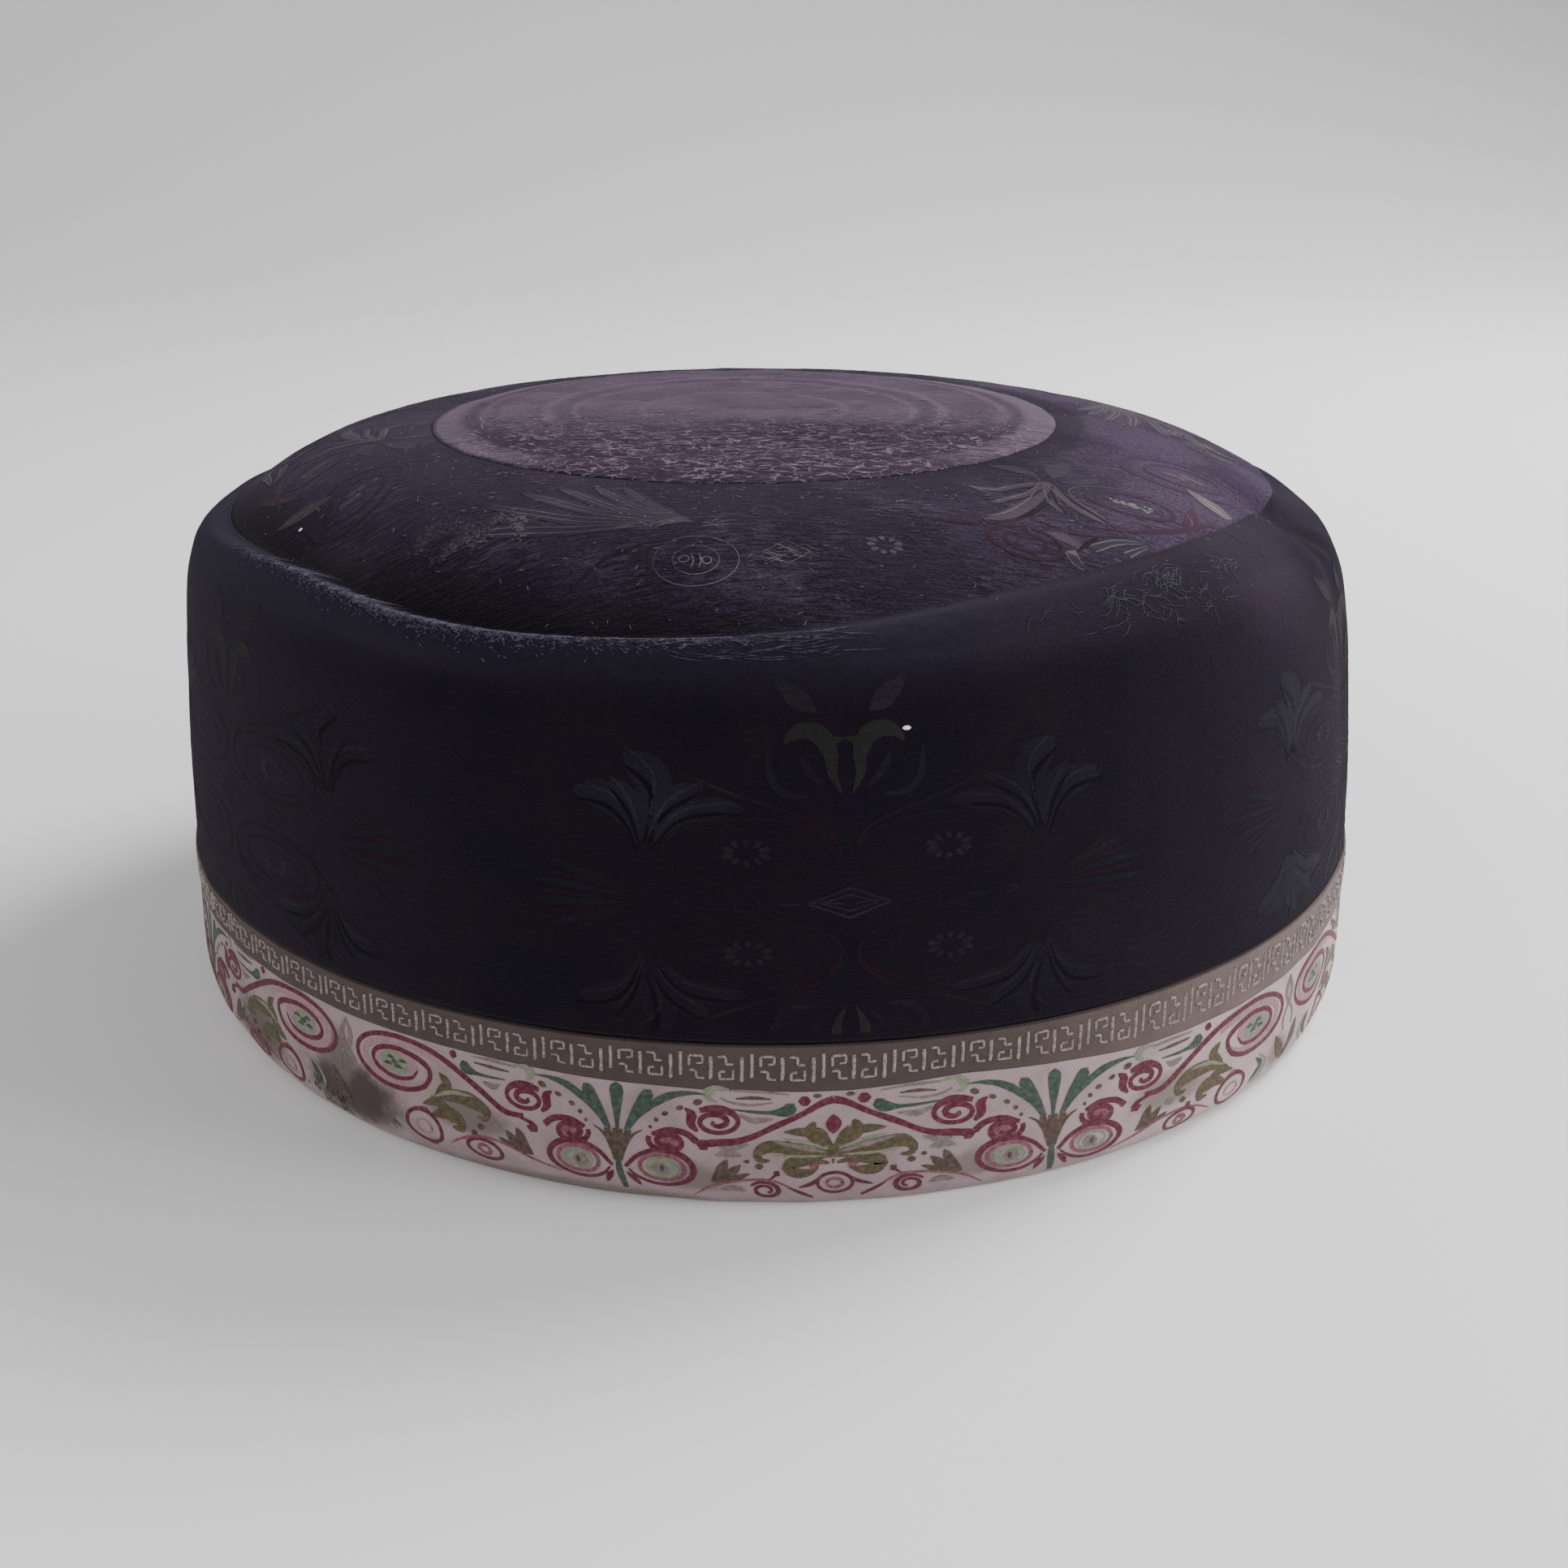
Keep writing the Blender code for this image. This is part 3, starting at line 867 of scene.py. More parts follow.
def make_crown():
    shape, _, _ = turned(crown_rows, closed=False)
    plan = np.array([v.co for v in shape.verts]) / MM
    lay_map(shape, plan[:, 0], plan[:, 1])
    # The crown's right is painted paler: sheen where light grazes its pile, partly the pile's lie.
    velvet = velvet_material("crown_velvet", CROWN_PILE, looks().crown_deep, looks().crown_worn_and_sheen, CROWN_TINT,
                             0.42, 0.9, crown_shading, brushed=0.95)
    return carried(finished(shape, "velvet_crown", [velvet]), "crown")


# Sizes and colours that a user may change


def colour_property(name, description, default):
    return bpy.props.FloatVectorProperty(name=name, description=description, subtype="COLOR", size=3,
                                         min=0.0, max=1.0, default=default)


class CapLooks(bpy.types.PropertyGroup):
    velvet_deep: colour_property("Wall velvet", "Colour of the wall's pile", (0.0086, 0.0056, 0.0104))
    velvet_worn: colour_property("Wall velvet, worn", "Colour where the wall's pile is brushed",
                                 (0.0125, 0.0070, 0.0120))
    crown_deep: colour_property("Crown velvet", "Colour of the crown's pile", (0.0122, 0.0072, 0.0152))
    # Also painted as the crown's sheen, on its right and at its far left.
    crown_worn_and_sheen: colour_property("Crown velvet, worn", "Colour where the crown's pile is brushed",
                                (0.067, 0.045, 0.078))
    disc_light: colour_property("Disc", "Colour of the woven disc", (0.101, 0.072, 0.108))
    ribbon_ground: colour_property("Ribbon", "Ground colour of the key ribbon", (0.073, 0.052, 0.048))
    band_ground: colour_property("Band", "Ground colour of the printed band", (0.318, 0.240, 0.250))
    thread_height: bpy.props.FloatProperty(
        name="Key thread height", description="How far the key pattern stands out",
        default=0.00022, min=0.00005, max=0.001, unit="LENGTH")
    lint_count: bpy.props.IntProperty(
        name="Lint", description="How many loose fibres lie on the cap", default=1400, min=0, max=4000)


def looks():
    return bpy.context.scene.cap_looks


# Disc on the crown

# Raised rings of the disc: share of its radius, width and height in millimetres
DISC_RIDGES = ((0.975, 1.6, 0.16), (0.915, 1.3, 0.10), (0.80, 1.8, 0.12), (0.62, 1.6, 0.16),
               (0.52, 1.0, 0.10), (0.30, 1.4, 0.08))

# Rings of tone on the disc: radius and width in millimetres, and how many times lighter
DISC_TONES = ((47.6, 2.6, 1.34), (43.9, 1.1, 0.66), (41.9, 0.7, 1.10), (40.0, 0.6, 0.74), (32.3, 1.0, 1.20),
              (29.8, 1.1, 0.74), (27.8, 0.6, 1.15), (17.0, 0.8, 1.1))


def leant(x, y, height):
    """A place on the crown, moved as far as the cap leans at its height."""
    return np.stack([x - LEAN * (height / CAP_HEIGHT) ** LEAN_POWER, y, height], -1)


def disc_rows(azimuths):
    """Places of the disc's rows, from the middle of its top to the edge and back underneath."""
    turn = np.radians(azimuths)
    shares = np.linspace(0.0, 1.0, 56)
    rim = MEDALLION_RADIUS / MM
    rows = [on_disc(share * rim * np.sin(turn), -share * rim * np.cos(turn)) for share in shares]
    for share in shares[::-5]:
        x = share * MEDALLION_RADIUS * np.sin(turn) + MEDALLION_SHIFT
        y = -share * MEDALLION_RADIUS * np.cos(turn)
        rows.append(leant(x, y, disc_seat(x, y)))
    return np.array(rows)


def disc_seat(x, y):
    """Height of the disc's underside, which follows the cloth that it lies on."""
    radius = np.hypot(x, y)
    azimuth = np.degrees(np.arctan2(x, -y))
    lumps = unevenness(azimuth, way_at_radius(radius)) * smooth((radius - 0.012) / 0.020)
    lap = 1.0 - smooth((radius - 0.045) / 0.004)
    return dome_height(radius) + lumps - 0.00004 + 0.00016 * lap


def on_disc(x, y):
    """Places on the top of the disc, from places in plan in millimetres counted from its middle."""
    x, y = np.asarray(x) * MM, np.asarray(y) * MM
    share = np.hypot(x, y) / MEDALLION_RADIUS
    ridge = sum(high * MM * np.exp(-(((share - at) * MEDALLION_RADIUS / MM / width) ** 2))
                for at, width, high in DISC_RIDGES)
    lumps = np.array([noise.noise(Vector((a / MM / 9.0, b / MM / 6.0, 3.0))) for a, b in zip(x, y)]) * 0.00013
    x = x + MEDALLION_SHIFT
    thick = 0.85 - 0.70 * smooth((share - 0.80) / 0.20)
    relief = (ridge + lumps) * (1.0 - 0.75 * smooth((share - 0.9) / 0.1))
    return leant(x, y, disc_seat(x, y) + MEDALLION_THICKNESS * thick + relief)


def disc_material():
    """Woven disc: rings of tone, worn patches, and short cracked streaks that lie sideways."""
    material, net, shader = new_material("medallion_weave", DISC_WEAVE)
    light = looks().disc_light
    place = cloth_place(net)
    _, y, _ = net.split(place)
    radius = net.length(place)
    patches = net.noise(net.stretch(place, (0.7, 1.3, 1.0)), 0.09, 3.0, 0.6)
    colour = net.mix(net.ramp(patches, 0.40, 0.62), toned(light, 0.78), light)
    front = net.ramp(y, -30.0, -43.0)
    wandering = net.plus(radius, net.times(net.noise(place, 0.35, 3.0, 0.7), 1.8))
    for centre, width, tone in DISC_TONES:
        away = net.math("ABSOLUTE", net.math("SUBTRACT", wandering, centre))
        on = net.times(net.ramp(away, width * 0.4, width * 1.2, 0.8, 0.0), net.scaled(front, -0.9, 1.0))
        colour = net.mix(on, colour, (light[0] * tone, light[1] * tone * 1.06, light[2] * tone))

    ragged = net.scaled(net.off_middle(net.noise(place, 0.11, 4.0, 0.65)), 34.0, y)
    near = net.ramp(ragged, -1.0, -27.0)
    inside = net.math("MAXIMUM", net.ramp(radius, 45.5, 43.0), front)
    colour = net.mix(net.times(near, net.times(inside, 0.94)), colour, toned(light, 0.31))
    from_bruise = net.length(net.stretch(place, (1 / 15.0, 1 / 11.0, 1.0), (-0.80, 1.9, 0.0)))
    colour = net.mix(net.ramp(from_bruise, 0.3, 1.4, 0.92, 0.0), colour, toned(light, 0.22))

    bend = net.node("ShaderNodeTexNoise", {"Vector": place, "Scale": 0.55, "Detail": 3.0})
    moved = net.node("ShaderNodeVectorMath", operation="MULTIPLY_ADD")
    for socket, value in zip(moved.inputs, (bend.outputs["Color"], (3.4, 2.6, 0.0), place)):
        net.put(socket, value)
    bent = moved.outputs["Vector"]
    cracks = net.cell_edges(net.stretch(bent, (0.40, 1.0, 1.0)), 0.80)
    worn = net.ramp(net.noise(place, 0.13, 3.0, 0.6), 0.38, 0.54)
    line = net.times(net.ramp(cracks, 0.02, 0.075, 1.0, 0.0), net.scaled(near, 0.85, 0.15))
    line = net.times(line, net.scaled(worn, 0.8, 0.2))
    streaks = net.noise(net.stretch(bent, (0.26, 1.1, 1.0)), 0.75, 4.0, 0.75)
    gaps = net.times(net.ramp(streaks, 0.36, 0.60, 0.8, 0.0), net.scaled(near, 0.75, 0.25))
    colour = net.mix(gaps, colour, toned(light, 0.30))
    colour = net.mix(net.times(line, 0.66), colour, toned(light, 2.2))
    grain = net.noise(net.stretch(place, (0.4, 1.4, 1)), 1.2, 4.0, 0.7)
    paint(net, shader, colour, net.bump(net.plus(net.times(line, 1.2), grain), 0.6, 0.0005))
    return material


def make_disc():
    shape, _, _ = turned(disc_rows, closed=False, steps=240)
    plan = np.array([v.co for v in shape.verts]) / MM
    lay_map(shape, plan[:, 0] + DISC_MAP_SHIFT, plan[:, 1])
    disc = carried(finished(shape, "woven_disc", [disc_material()]), "crown_medallion")
    return disc


# Trim

# How far the print wanders down the band: azimuth, drop in millimetres
DROP = ((-100.0, -0.5), (-60.0, -0.9), (-38.0, -0.8), (-20.0, -0.4), (-12.0, -0.3), (4.0, 0.0), (10.0, -0.3),
        (16.0, 0.2), (22.0, 0.8), (28.0, 1.4), (35.0, 1.7), (50.0, 1.6), (65.0, 1.2), (100.0, 0.3),
        (180.0, 0.0))

# Where the chart's landmarks fall round the front: chart place in millimetres, azimuth
WARP = ((-74.2, -38.1), (-28.7, -12.6), (0.0, 4.2), (28.7, 22.3), (74.2, 51.9))
REPEAT = 148.4

# Height of the ribbon's lower edge: azimuth, millimetres below the ribbon's top
RIBBON_EDGE = ((-180.0, 6.4), (-70.0, 5.2), (-43.0, 5.0), (-31.0, 5.1), (-25.0, 5.2), (-18.7, 5.4),
               (-12.7, 5.7), (-3.6, 6.0), (5.5, 6.2), (11.6, 5.5), (14.6, 5.3), (17.6, 5.6), (23.7, 6.2),
               (29.7, 7.0), (36.0, 7.3), (52.0, 7.3), (80.0, 6.6), (180.0, 6.4))

# How far below its top the ribbon ends before its edge wanders
RIBBON_END = 0.0064

# Height at which the band starts, under the ribbon
BAND_START = 0.0172

# Threads to a millimetre and relief of the band's cloth, which the print shares
BAND_THREADS = 2.2
BAND_RELIEF = 0.25


def round_the_cap(table, azimuth):
    """A table's millimetres, in metres, at each azimuth."""
    table = np.array(table)
    return np.interp((azimuth + 180.0) % 360.0 - 180.0, table[:, 0], table[:, 1], period=360.0) * MM


def edge_at(azimuth):
    """How far below its top the ribbon ends at each azimuth."""
    return round_the_cap(RIBBON_EDGE, azimuth)


def chart_azimuth(u):
    """The azimuth of a place along the chart: the front repeat is warped to its landmarks."""
    table = np.array(WARP)
    beyond = table[-1, 1] + (u - table[-1, 0]) * 90.0 / REPEAT
    return np.where(u <= table[-1, 0], np.interp(u, table[:, 0], table[:, 1]), beyond)


def trim_rows(line, thickness):
    """Rows of a strip of trim: along its outside and back along its inside."""
    along = np.gradient(line, axis=0)
    out = np.stack([-along[:, 1], along[:, 0]], -1) / np.hypot(*along.T)[:, None]
    return np.vstack([line, (line - out * thickness)[::-1]])


def make_strip(name, line, thickness, material, node, edge_share):
    """A strip of trim turned round the cap. Its edge that meets the other strip wanders."""
    rows = trim_rows(line, thickness)
    share = edge_share(rows)

    def place(azimuths):
        wander = edge_at(azimuths) - RIBBON_END
        return np.array([stood(r + trim_lump(azimuths), azimuths, z - wander * s)
                         for (r, z), s in zip(rows, share)])

    shape, row, turn = turned(place, closed=True)
    way = run_along(line) / MM
    way = np.concatenate([way, way[::-1], way[:1]])
    lay_map(shape, turn * TURN / AROUND, way[row])
    return carried(finished(shape, name, [material], sharp=60), node)


# Stains of the band: colour, and centre and reach in millimetres of its flat cloth
STAINS = (
    ((0.042, 0.031, 0.026), (TURN - 62.6, 10.8), (10.0, 5.6)),
    ((0.105, 0.084, 0.070), (TURN - 86.0, 9.5), (8.0, 4.8)),
    ((0.130, 0.108, 0.098), (TURN - 64.5, 6.0), (3.2, 4.0)),
    ((0.140, 0.112, 0.100), (TURN - 42.0, 8.5), (7.0, 2.6)),
    ((0.230, 0.140, 0.140), (83.0, 13.0), (3.5, 3.0)),
    ((0.185, 0.150, 0.135), (57.0, 9.0), (8.0, 3.0)),
    ((0.160, 0.126, 0.112), (TURN - 30.0, 17.6), (24.0, 2.4)),
    ((0.170, 0.135, 0.122), (TURN - 11.0, 12.5), (5.0, 2.6)),
    ((0.175, 0.140, 0.128), (26.0, 12.5), (4.6, 2.4)),
)


def make_band():
    line = TRIM[TRIM_WAY > (BAND_TOP - BAND_START) - 1e-5]
    start = np.stack([np.full(4, line[0, 0]), np.linspace(0.01745, line[0, 1] + 0.0001, 4)], -1)
    line = np.vstack([start, line[:0:-2][::-1]])
    ground = looks().band_ground
    shadow = (ground[0] * 0.66, ground[1] * 0.66, ground[2] * 0.62)
    # The band is painted 1.42 times paler at the front right, as light from the right.
    cotton = woven_material("band_cotton", ground, shadow, BAND_THREADS, BAND_RELIEF, STAINS, 1.42)
    band = make_strip("hem_band", line, TRIM_THICKNESS, cotton, "scroll_band",
                      lambda rows: smooth((rows[:, 1] - 0.0118) / 0.0050))
    return band


def make_ribbon():
    line = np.stack([np.full(8, 0.09432), np.linspace(BAND_TOP, BAND_TOP - RIBBON_END, 8)], -1)
    ground = looks().ribbon_ground
    # The ribbon is painted twice as pale at the front right, as light from the right.
    taupe = woven_material("ribbon_taupe", ground, toned(ground, 0.72), 3.2, 0.5, painted_light=2.0)
    return make_strip("key_ribbon_cloth", line, TRIM_THICKNESS * 0.9, taupe, "key_ribbon",
                      lambda rows: smooth((0.0232 - rows[:, 1]) / 0.0050))


# Key pattern: how often it repeats, the middle of a repeat, how wide the ribbon is that it was charted
# on, and its bars and hooks as lines of places in millimetres from the ribbon's top, with their width
KEY_COUNT = 66
KEY_REPEAT = TURN / KEY_COUNT
KEY_AXIS = 4.0
KEY_RIBBON = 6.3
KEY_LINES = (
    (((-0.62, 1.35), (-0.60, 3.2), (-0.66, 5.0)), 0.51),
    (((0.62, 0.85), (0.66, 2.4), (0.60, 4.35)), 0.51),
    (((4.45, 1.30), (4.50, 3.0), (4.42, 4.70)), 0.54),
    (((1.75, 2.75), (1.75, 1.35), (3.45, 1.30), (3.45, 2.35), (2.65, 2.45)), 0.41),
    (((1.70, 3.55), (2.60, 3.50), (2.65, 4.60), (3.65, 4.65)), 0.41),
    (((7.25, 3.25), (7.25, 4.65), (5.55, 4.70), (5.55, 3.65), (6.35, 3.55)), 0.41),
    (((7.30, 2.45), (6.40, 2.50), (6.35, 1.40), (5.35, 1.35)), 0.41),
)


# The middle of the cap, from which every figure faces away
MIDDLE = Vector((0.0, 0.0, 0.045))


def copies_round(step, count):
    """The other copies of a chart that repeats along the cloth."""
    return [Matrix.Translation((i * step, 0.0, 0.0)) for i in range(1, count)]


def wrapped(chart, name, materials, surface, place_of, thickness, copies=(), ridge=0.0, side=1.0,
            base=0.0):
    """Lay a flat chart on the cloth: copy it round, wrap it, and give it its thickness."""
    shape = chart.shape
    first = shape.verts[:] + shape.edges[:] + shape.faces[:]
    for matrix in copies:
        made = bmesh.ops.duplicate(shape, geom=first)["geom"]
        vertices = [part for part in made if isinstance(part, bmesh.types.BMVert)]
        bmesh.ops.transform(shape, matrix=matrix, verts=vertices)
    shape.verts.index_update()
    flat = np.array([v.co for v in shape.verts])
    layer = shape.loops.layers.uv.new("cloth")
    for face in shape.faces:
        for corner in face.loops:
            corner[layer].uv = flat[corner.vert.index, :2]
    azimuth, way, shown = place_of(flat[:, 0], flat[:, 1])
    standing = flat[:, 2] > RIDGE_MARK / 2
    lift = np.where(standing, (flat[:, 2] - RIDGE_MARK) * ridge, flat[:, 2] * MM)
    for vertex, place in zip(shape.verts, lifted(surface, azimuth, way, base + lift, side)):
        vertex.co = place
    bmesh.ops.delete(shape, geom=[v for v, keep in zip(shape.verts, shown) if not keep], context="VERTS")
    shape.normal_update()
    inward = [face for face in shape.faces if face.normal.dot(face.calc_center_median() - MIDDLE) < 0]
    bmesh.ops.reverse_faces(shape, faces=inward)
    bmesh.ops.solidify(shape, geom=shape.faces[:], thickness=thickness)
    thing = finished(shape, name, materials, merge=1e-9, sharp=None if ridge else 35)
    return carried(thing)


def make_key():
    chart = Chart(["thread"], seed=5)
    for points, width in KEY_LINES:
        for ends in zip(points, points[1:]):
            widths = (width * 0.85, width, width, width * 0.85)
            chart.stroke("thread", ends, widths, across=4, rough=0.12)
    for vertex in chart.shape.verts:
        vertex.co.x -= KEY_AXIS

    def place_of(u, v):
        azimuth = u / TURN * 360.0
        lowered = v * edge_at(azimuth) / KEY_RIBBON
        return azimuth, lowered, np.ones(len(u), bool)

    thread = mottled_material("key_thread", KEY_THREAD, (0.34, 0.285, 0.268), (0.15, 0.115, 0.106), 2.2, 0.55)
    return wrapped(chart, "key_threads", [thread], on_trim, place_of, 0.00006,
                   copies_round(KEY_REPEAT, KEY_COUNT), ridge=looks().thread_height, side=-1.0)


# Dyes of the print: where it took fully, and where it is thin
DYES = {
    "crimson": ((0.078, 0.013, 0.024), (0.140, 0.040, 0.056)),
    "mauve": ((0.150, 0.045, 0.065), (0.230, 0.105, 0.125)),
    "pink": ((0.260, 0.150, 0.175), (0.310, 0.200, 0.220)),
    "olive": ((0.066, 0.052, 0.028), (0.120, 0.096, 0.062)),
    "brown": ((0.058, 0.040, 0.030), (0.110, 0.080, 0.064)),
    "teal": ((0.032, 0.050, 0.042), (0.072, 0.094, 0.080)),
    "mint": ((0.150, 0.170, 0.110), (0.220, 0.225, 0.165)),
    "smoke": ((0.135, 0.108, 0.098), (0.205, 0.165, 0.158)),
}


def dye_material(name, deep, thin):
    """Printed dye: uneven where the cloth took less of it, on the same weave as the ground."""
    material, net, shader = new_material("print_" + name, PLAIN_WEAVE)
    place = cloth_place(net)
    values = {"Place": place, "Threads per mm": BAND_THREADS, "Depth": BAND_RELIEF}
    weave = net.node("ShaderNodeGroup", values, node_tree=weave_group())
    uneven = net.noise(place, 1.3, 4.0, 0.65)
    paint(net, shader, net.mix(net.ramp(uneven, 0.35, 0.70), deep, thin), weave.outputs["Normal"])
    return material


def draw_heart(c, m):
    """Half of the diamond-shaped middle motif, right of its axis; m mirrors a place."""
    line = line_by(m)
    c.stroke("crimson", line((0.0, 7.5), (1.6, 8.0), (4.2, 9.5), (7.6, 11.2), (10.4, 12.7), (12.8, 13.5),
                             (15.0, 13.7), (17.2, 14.0)), (0.75, 0.55, 0.5, 0.6, 0.5, 0.6, 0.7, 0.75))
    c.comma("crimson", line((17.5, 14.9), (17.0, 14.0), (15.0, 13.6), (13.6, 13.5)), 1.25)
    c.dot("crimson", m(3.8, 7.6), 1.7, 1.0)
    c.dot("brown", m(2.1, 6.9), 1.2, 0.45)
    c.comma("teal", line((5.2, 7.9), (6.1, 9.0), (8.6, 9.3), (11.0, 9.2), (13.6, 8.9)), 1.5)
    c.stroke("smoke", line((8.0, 10.2), (10.5, 10.5), (12.3, 9.7)), (0.2, 0.7, 0.3))
    c.comma("mint", line((16.2, 6.3), (16.4, 7.4), (15.2, 8.0)), 1.5)
    c.stroke("mint", line((13.6, 6.1), (15.4, 5.9), (16.6, 6.8), (16.0, 7.9)), (0.2, 0.6, 1.2, 0.3))
    c.stroke("smoke", line((5.8, 6.7), (9.0, 6.4), (13.4, 6.2)), (0.1, 0.35, 0.2))
    c.stroke("smoke", line((8.0, 7.9), (11.0, 8.3), (13.6, 7.9), (14.8, 7.3)), (0.1, 0.3, 0.2))
    c.stroke("brown", line((8.2, 7.4), (10.5, 7.25), (12.8, 7.4)), (0.15, 0.4, 0.15))
    spiral_with_beak(c, m, (15.4, 10.8))
    c.stroke("olive", line((0.2, 14.0), (1.6, 13.0), (2.9, 11.8), (2.5, 10.6)), (0.3, 1.6, 1.7, 0.3))
    c.leaf("olive", line((2.0, 12.4), (4.0, 12.0), (6.6, 12.0)), 0.9, 0.3)
    c.leaf("mint", line((0.4, 14.6), (3.4, 13.7), (6.6, 13.0)), 0.55)
    c.leaf("smoke", line((0.8, 15.0), (4.2, 14.2), (8.0, 13.3)), 0.5)
    c.stroke("olive", line((0.0, 15.1), (3.0, 14.9), (6.0, 14.3), (8.6, 14.2), (10.0, 15.2), (9.6, 16.2),
                           (8.4, 16.2)), (1.0, 1.3, 1.5, 1.3, 1.3, 0.9, 0.2))
    c.leaf("mint", line((1.0, 15.5), (4.5, 15.5), (8.0, 15.4)), 0.35)
    c.stroke("olive", line((0.5, 16.6), (2.6, 16.2), (5.0, 16.4), (6.0, 17.2), (4.9, 18.0), (3.2, 17.9),
                           (2.0, 17.3)), (0.25, 0.7, 1.1, 1.3, 1.2, 0.9, 0.2))
    c.dot("mauve", m(2.5, 17.0), 1.4, 0.75)
    c.stroke("brown", line((0.0, 16.0), (0.0, 16.7)), (0.35, 0.15))
    c.dot("brown", m(9.8, 17.1), 1.2, 0.65)
    c.dot("brown", m(11.4, 16.4), 0.8, 0.4)
    c.comma("crimson", line((7.2, 17.7), (7.9, 18.6), (8.6, 19.1)), 0.95)
    c.stroke("smoke", line((11.2, 13.9), (13.0, 14.4), (15.0, 14.4)), (0.2, 0.7, 0.2))
    c.leaf("smoke", line((12.0, 15.6), (14.0, 15.2), (15.6, 15.6)), 0.8)
    bow(c, m, (16.4, 19.8))
    c.ring("crimson", m(0.0, 19.9), 4.6, 3.6, 0.32)
    c.ring("mauve", m(0.0, 19.9), 2.1, 1.7, 0.38)
    c.leaf("crimson", line((1.8, 18.7), (3.0, 19.8), (4.9, 20.6)), 0.42)
    c.stroke("crimson", line((3.2, 22.6), (4.7, 21.6), (6.2, 20.6)), (0.3, 0.36, 0.25))
    c.stroke("mauve", line((6.0, 20.6), (8.0, 19.4), (10.6, 19.2), (13.6, 19.6), (16.6, 20.6), (19.2, 22.6)),
             (0.25, 0.32, 0.3, 0.3, 0.26, 0.1))
    c.coil("crimson", m(9.4, 21.2), 4.2 * flip(m), 3.4, 1.6, -30.0, (0.3, 0.4, 0.5, 0.25), 0.3)
    c.leaf("smoke", line((12.0, 21.4), (13.4, 20.8), (15.4, 21.2)), 0.8)


def flip(m):
    """1 for a drawing the right way round, -1 for a mirrored one."""
    return 1.0 if m(1.0, 0.0)[0] > m(0.0, 0.0)[0] else -1.0


def spiral_with_beak(c, m, centre, back=1.0):
    """A small spiral of two turns, thick on one side and with a beak where it ends; back is -1 for one
    that winds the other way."""
    x, v = centre
    across, high = 6.9, 4.1
    c.coil("crimson", m(x, v), across * flip(m) * back, high, 1.95, -35.0,
           (0.35, 0.6, 0.5, 0.45, 0.4, 0.45, 0.8, 0.5), 0.10)
    beak = ((0.36, 0.36), (0.49, 0.1), (0.47, -0.22), (0.60, -0.42))
    c.stroke("crimson", [m(x + back * a * across, v + b * high) for a, b in beak], (0.3, 0.8, 1.0, 0.15))


def bow(c, m, tip, back=1.0):
    """Three narrow leaves that meet at a tip."""
    x, v = tip
    for dx, dv, width in ((-5.4, -1.6, 0.7), (-4.2, -2.9, 1.0), (-2.4, -3.7, 1.1)):
        points = [m(x, v), m(x + back * dx * 0.55, v + dv * 0.42), m(x + back * dx, v + dv)]
        c.leaf("brown", points, width, 0.62)


def draw_palm(c, m, at):
    """Half of the palmette, on the side towards the middle motif; at is its axis."""
    line = line_by(m, at)
    c.club("teal", line((-1.1, 12.9), (-2.0, 11.0), (-3.4, 8.8), (-4.7, 6.9)), 1.5)
    c.stroke("teal", line((-1.6, 12.8), (-2.8, 11.0), (-4.8, 9.0), (-7.2, 7.5), (-9.8, 6.9), (-12.0, 6.9)),
             (0.25, 0.5, 0.9, 0.95, 0.55, 0.08))
    c.stroke("brown", line((-3.4, 12.8), (-2.0, 13.7), (-0.9, 15.6), (-0.4, 17.6)), (0.1, 0.35, 0.5, 0.3))
    c.stroke("brown", line((-1.5, 12.9), (-1.1, 14.4), (-0.5, 16.4)), (0.7, 0.8, 0.3))
    for x, v, across, high in ((-10.9, 8.1, 1.4, 0.65), (-8.5, 9.1, 1.1, 0.5), (-6.5, 10.1, 1.0, 0.5),
                               (-5.3, 11.1, 0.7, 0.5), (-4.5, 12.2, 0.5, 0.4)):
        c.dot("brown", m(at + x, v), across, high, 20.0 * flip(m))
    c.dot("mauve", m(at - 6.7, 14.2), 3.6, 2.0)
    c.coil("crimson", m(at - 6.7, 14.1), -5.2 * flip(m), 3.2, 1.45, -160.0, (0.5, 0.6, 0.5, 0.6, 0.45), 0.28)
    c.stroke("crimson", line((-4.7, 13.2), (-6.9, 12.4), (-9.3, 12.7), (-10.7, 13.8)), (0.4, 0.55, 0.6, 0.65))
    c.dot("mint", m(at - 5.9, 18.1), 4.6, 2.9)
    c.dot("smoke", m(at - 5.6, 18.2), 2.3, 1.5)
    c.dot("brown", m(at - 5.9, 18.1), 0.6, 0.8)
    c.ring("mauve", m(at - 5.9, 18.1), 6.0, 4.0, 0.45)
    c.stroke("crimson", line((-0.9, 18.4), (-2.6, 16.6), (-5.0, 15.5), (-7.6, 15.6), (-9.6, 16.7),
                             (-10.2, 18.2), (-9.2, 19.8), (-6.9, 20.9), (-4.4, 20.9), (-2.4, 19.9),
                             (-1.3, 18.7)), (0.35, 0.42, 0.42, 0.5, 0.6, 0.6, 0.5, 0.42, 0.4, 0.35, 0.2))
    c.leaf("crimson", line((-0.9, 19.2), (-1.8, 20.4), (-2.4, 21.6)), 0.6)


def draw_palm_axis(c, at):
    """What stands on the palmette's own axis."""
    c.club("teal", [(at, 13.0), (at, 10.0), (at, 6.2)], 1.65)
    c.stroke("brown", [(at, 12.9), (at, 14.6), (at, 16.9)], (1.1, 1.0, 0.4))
    c.stroke("teal", [(at, 16.8), (at, 19.0), (at + 0.1, 22.4)], (0.5, 0.9, 0.6))


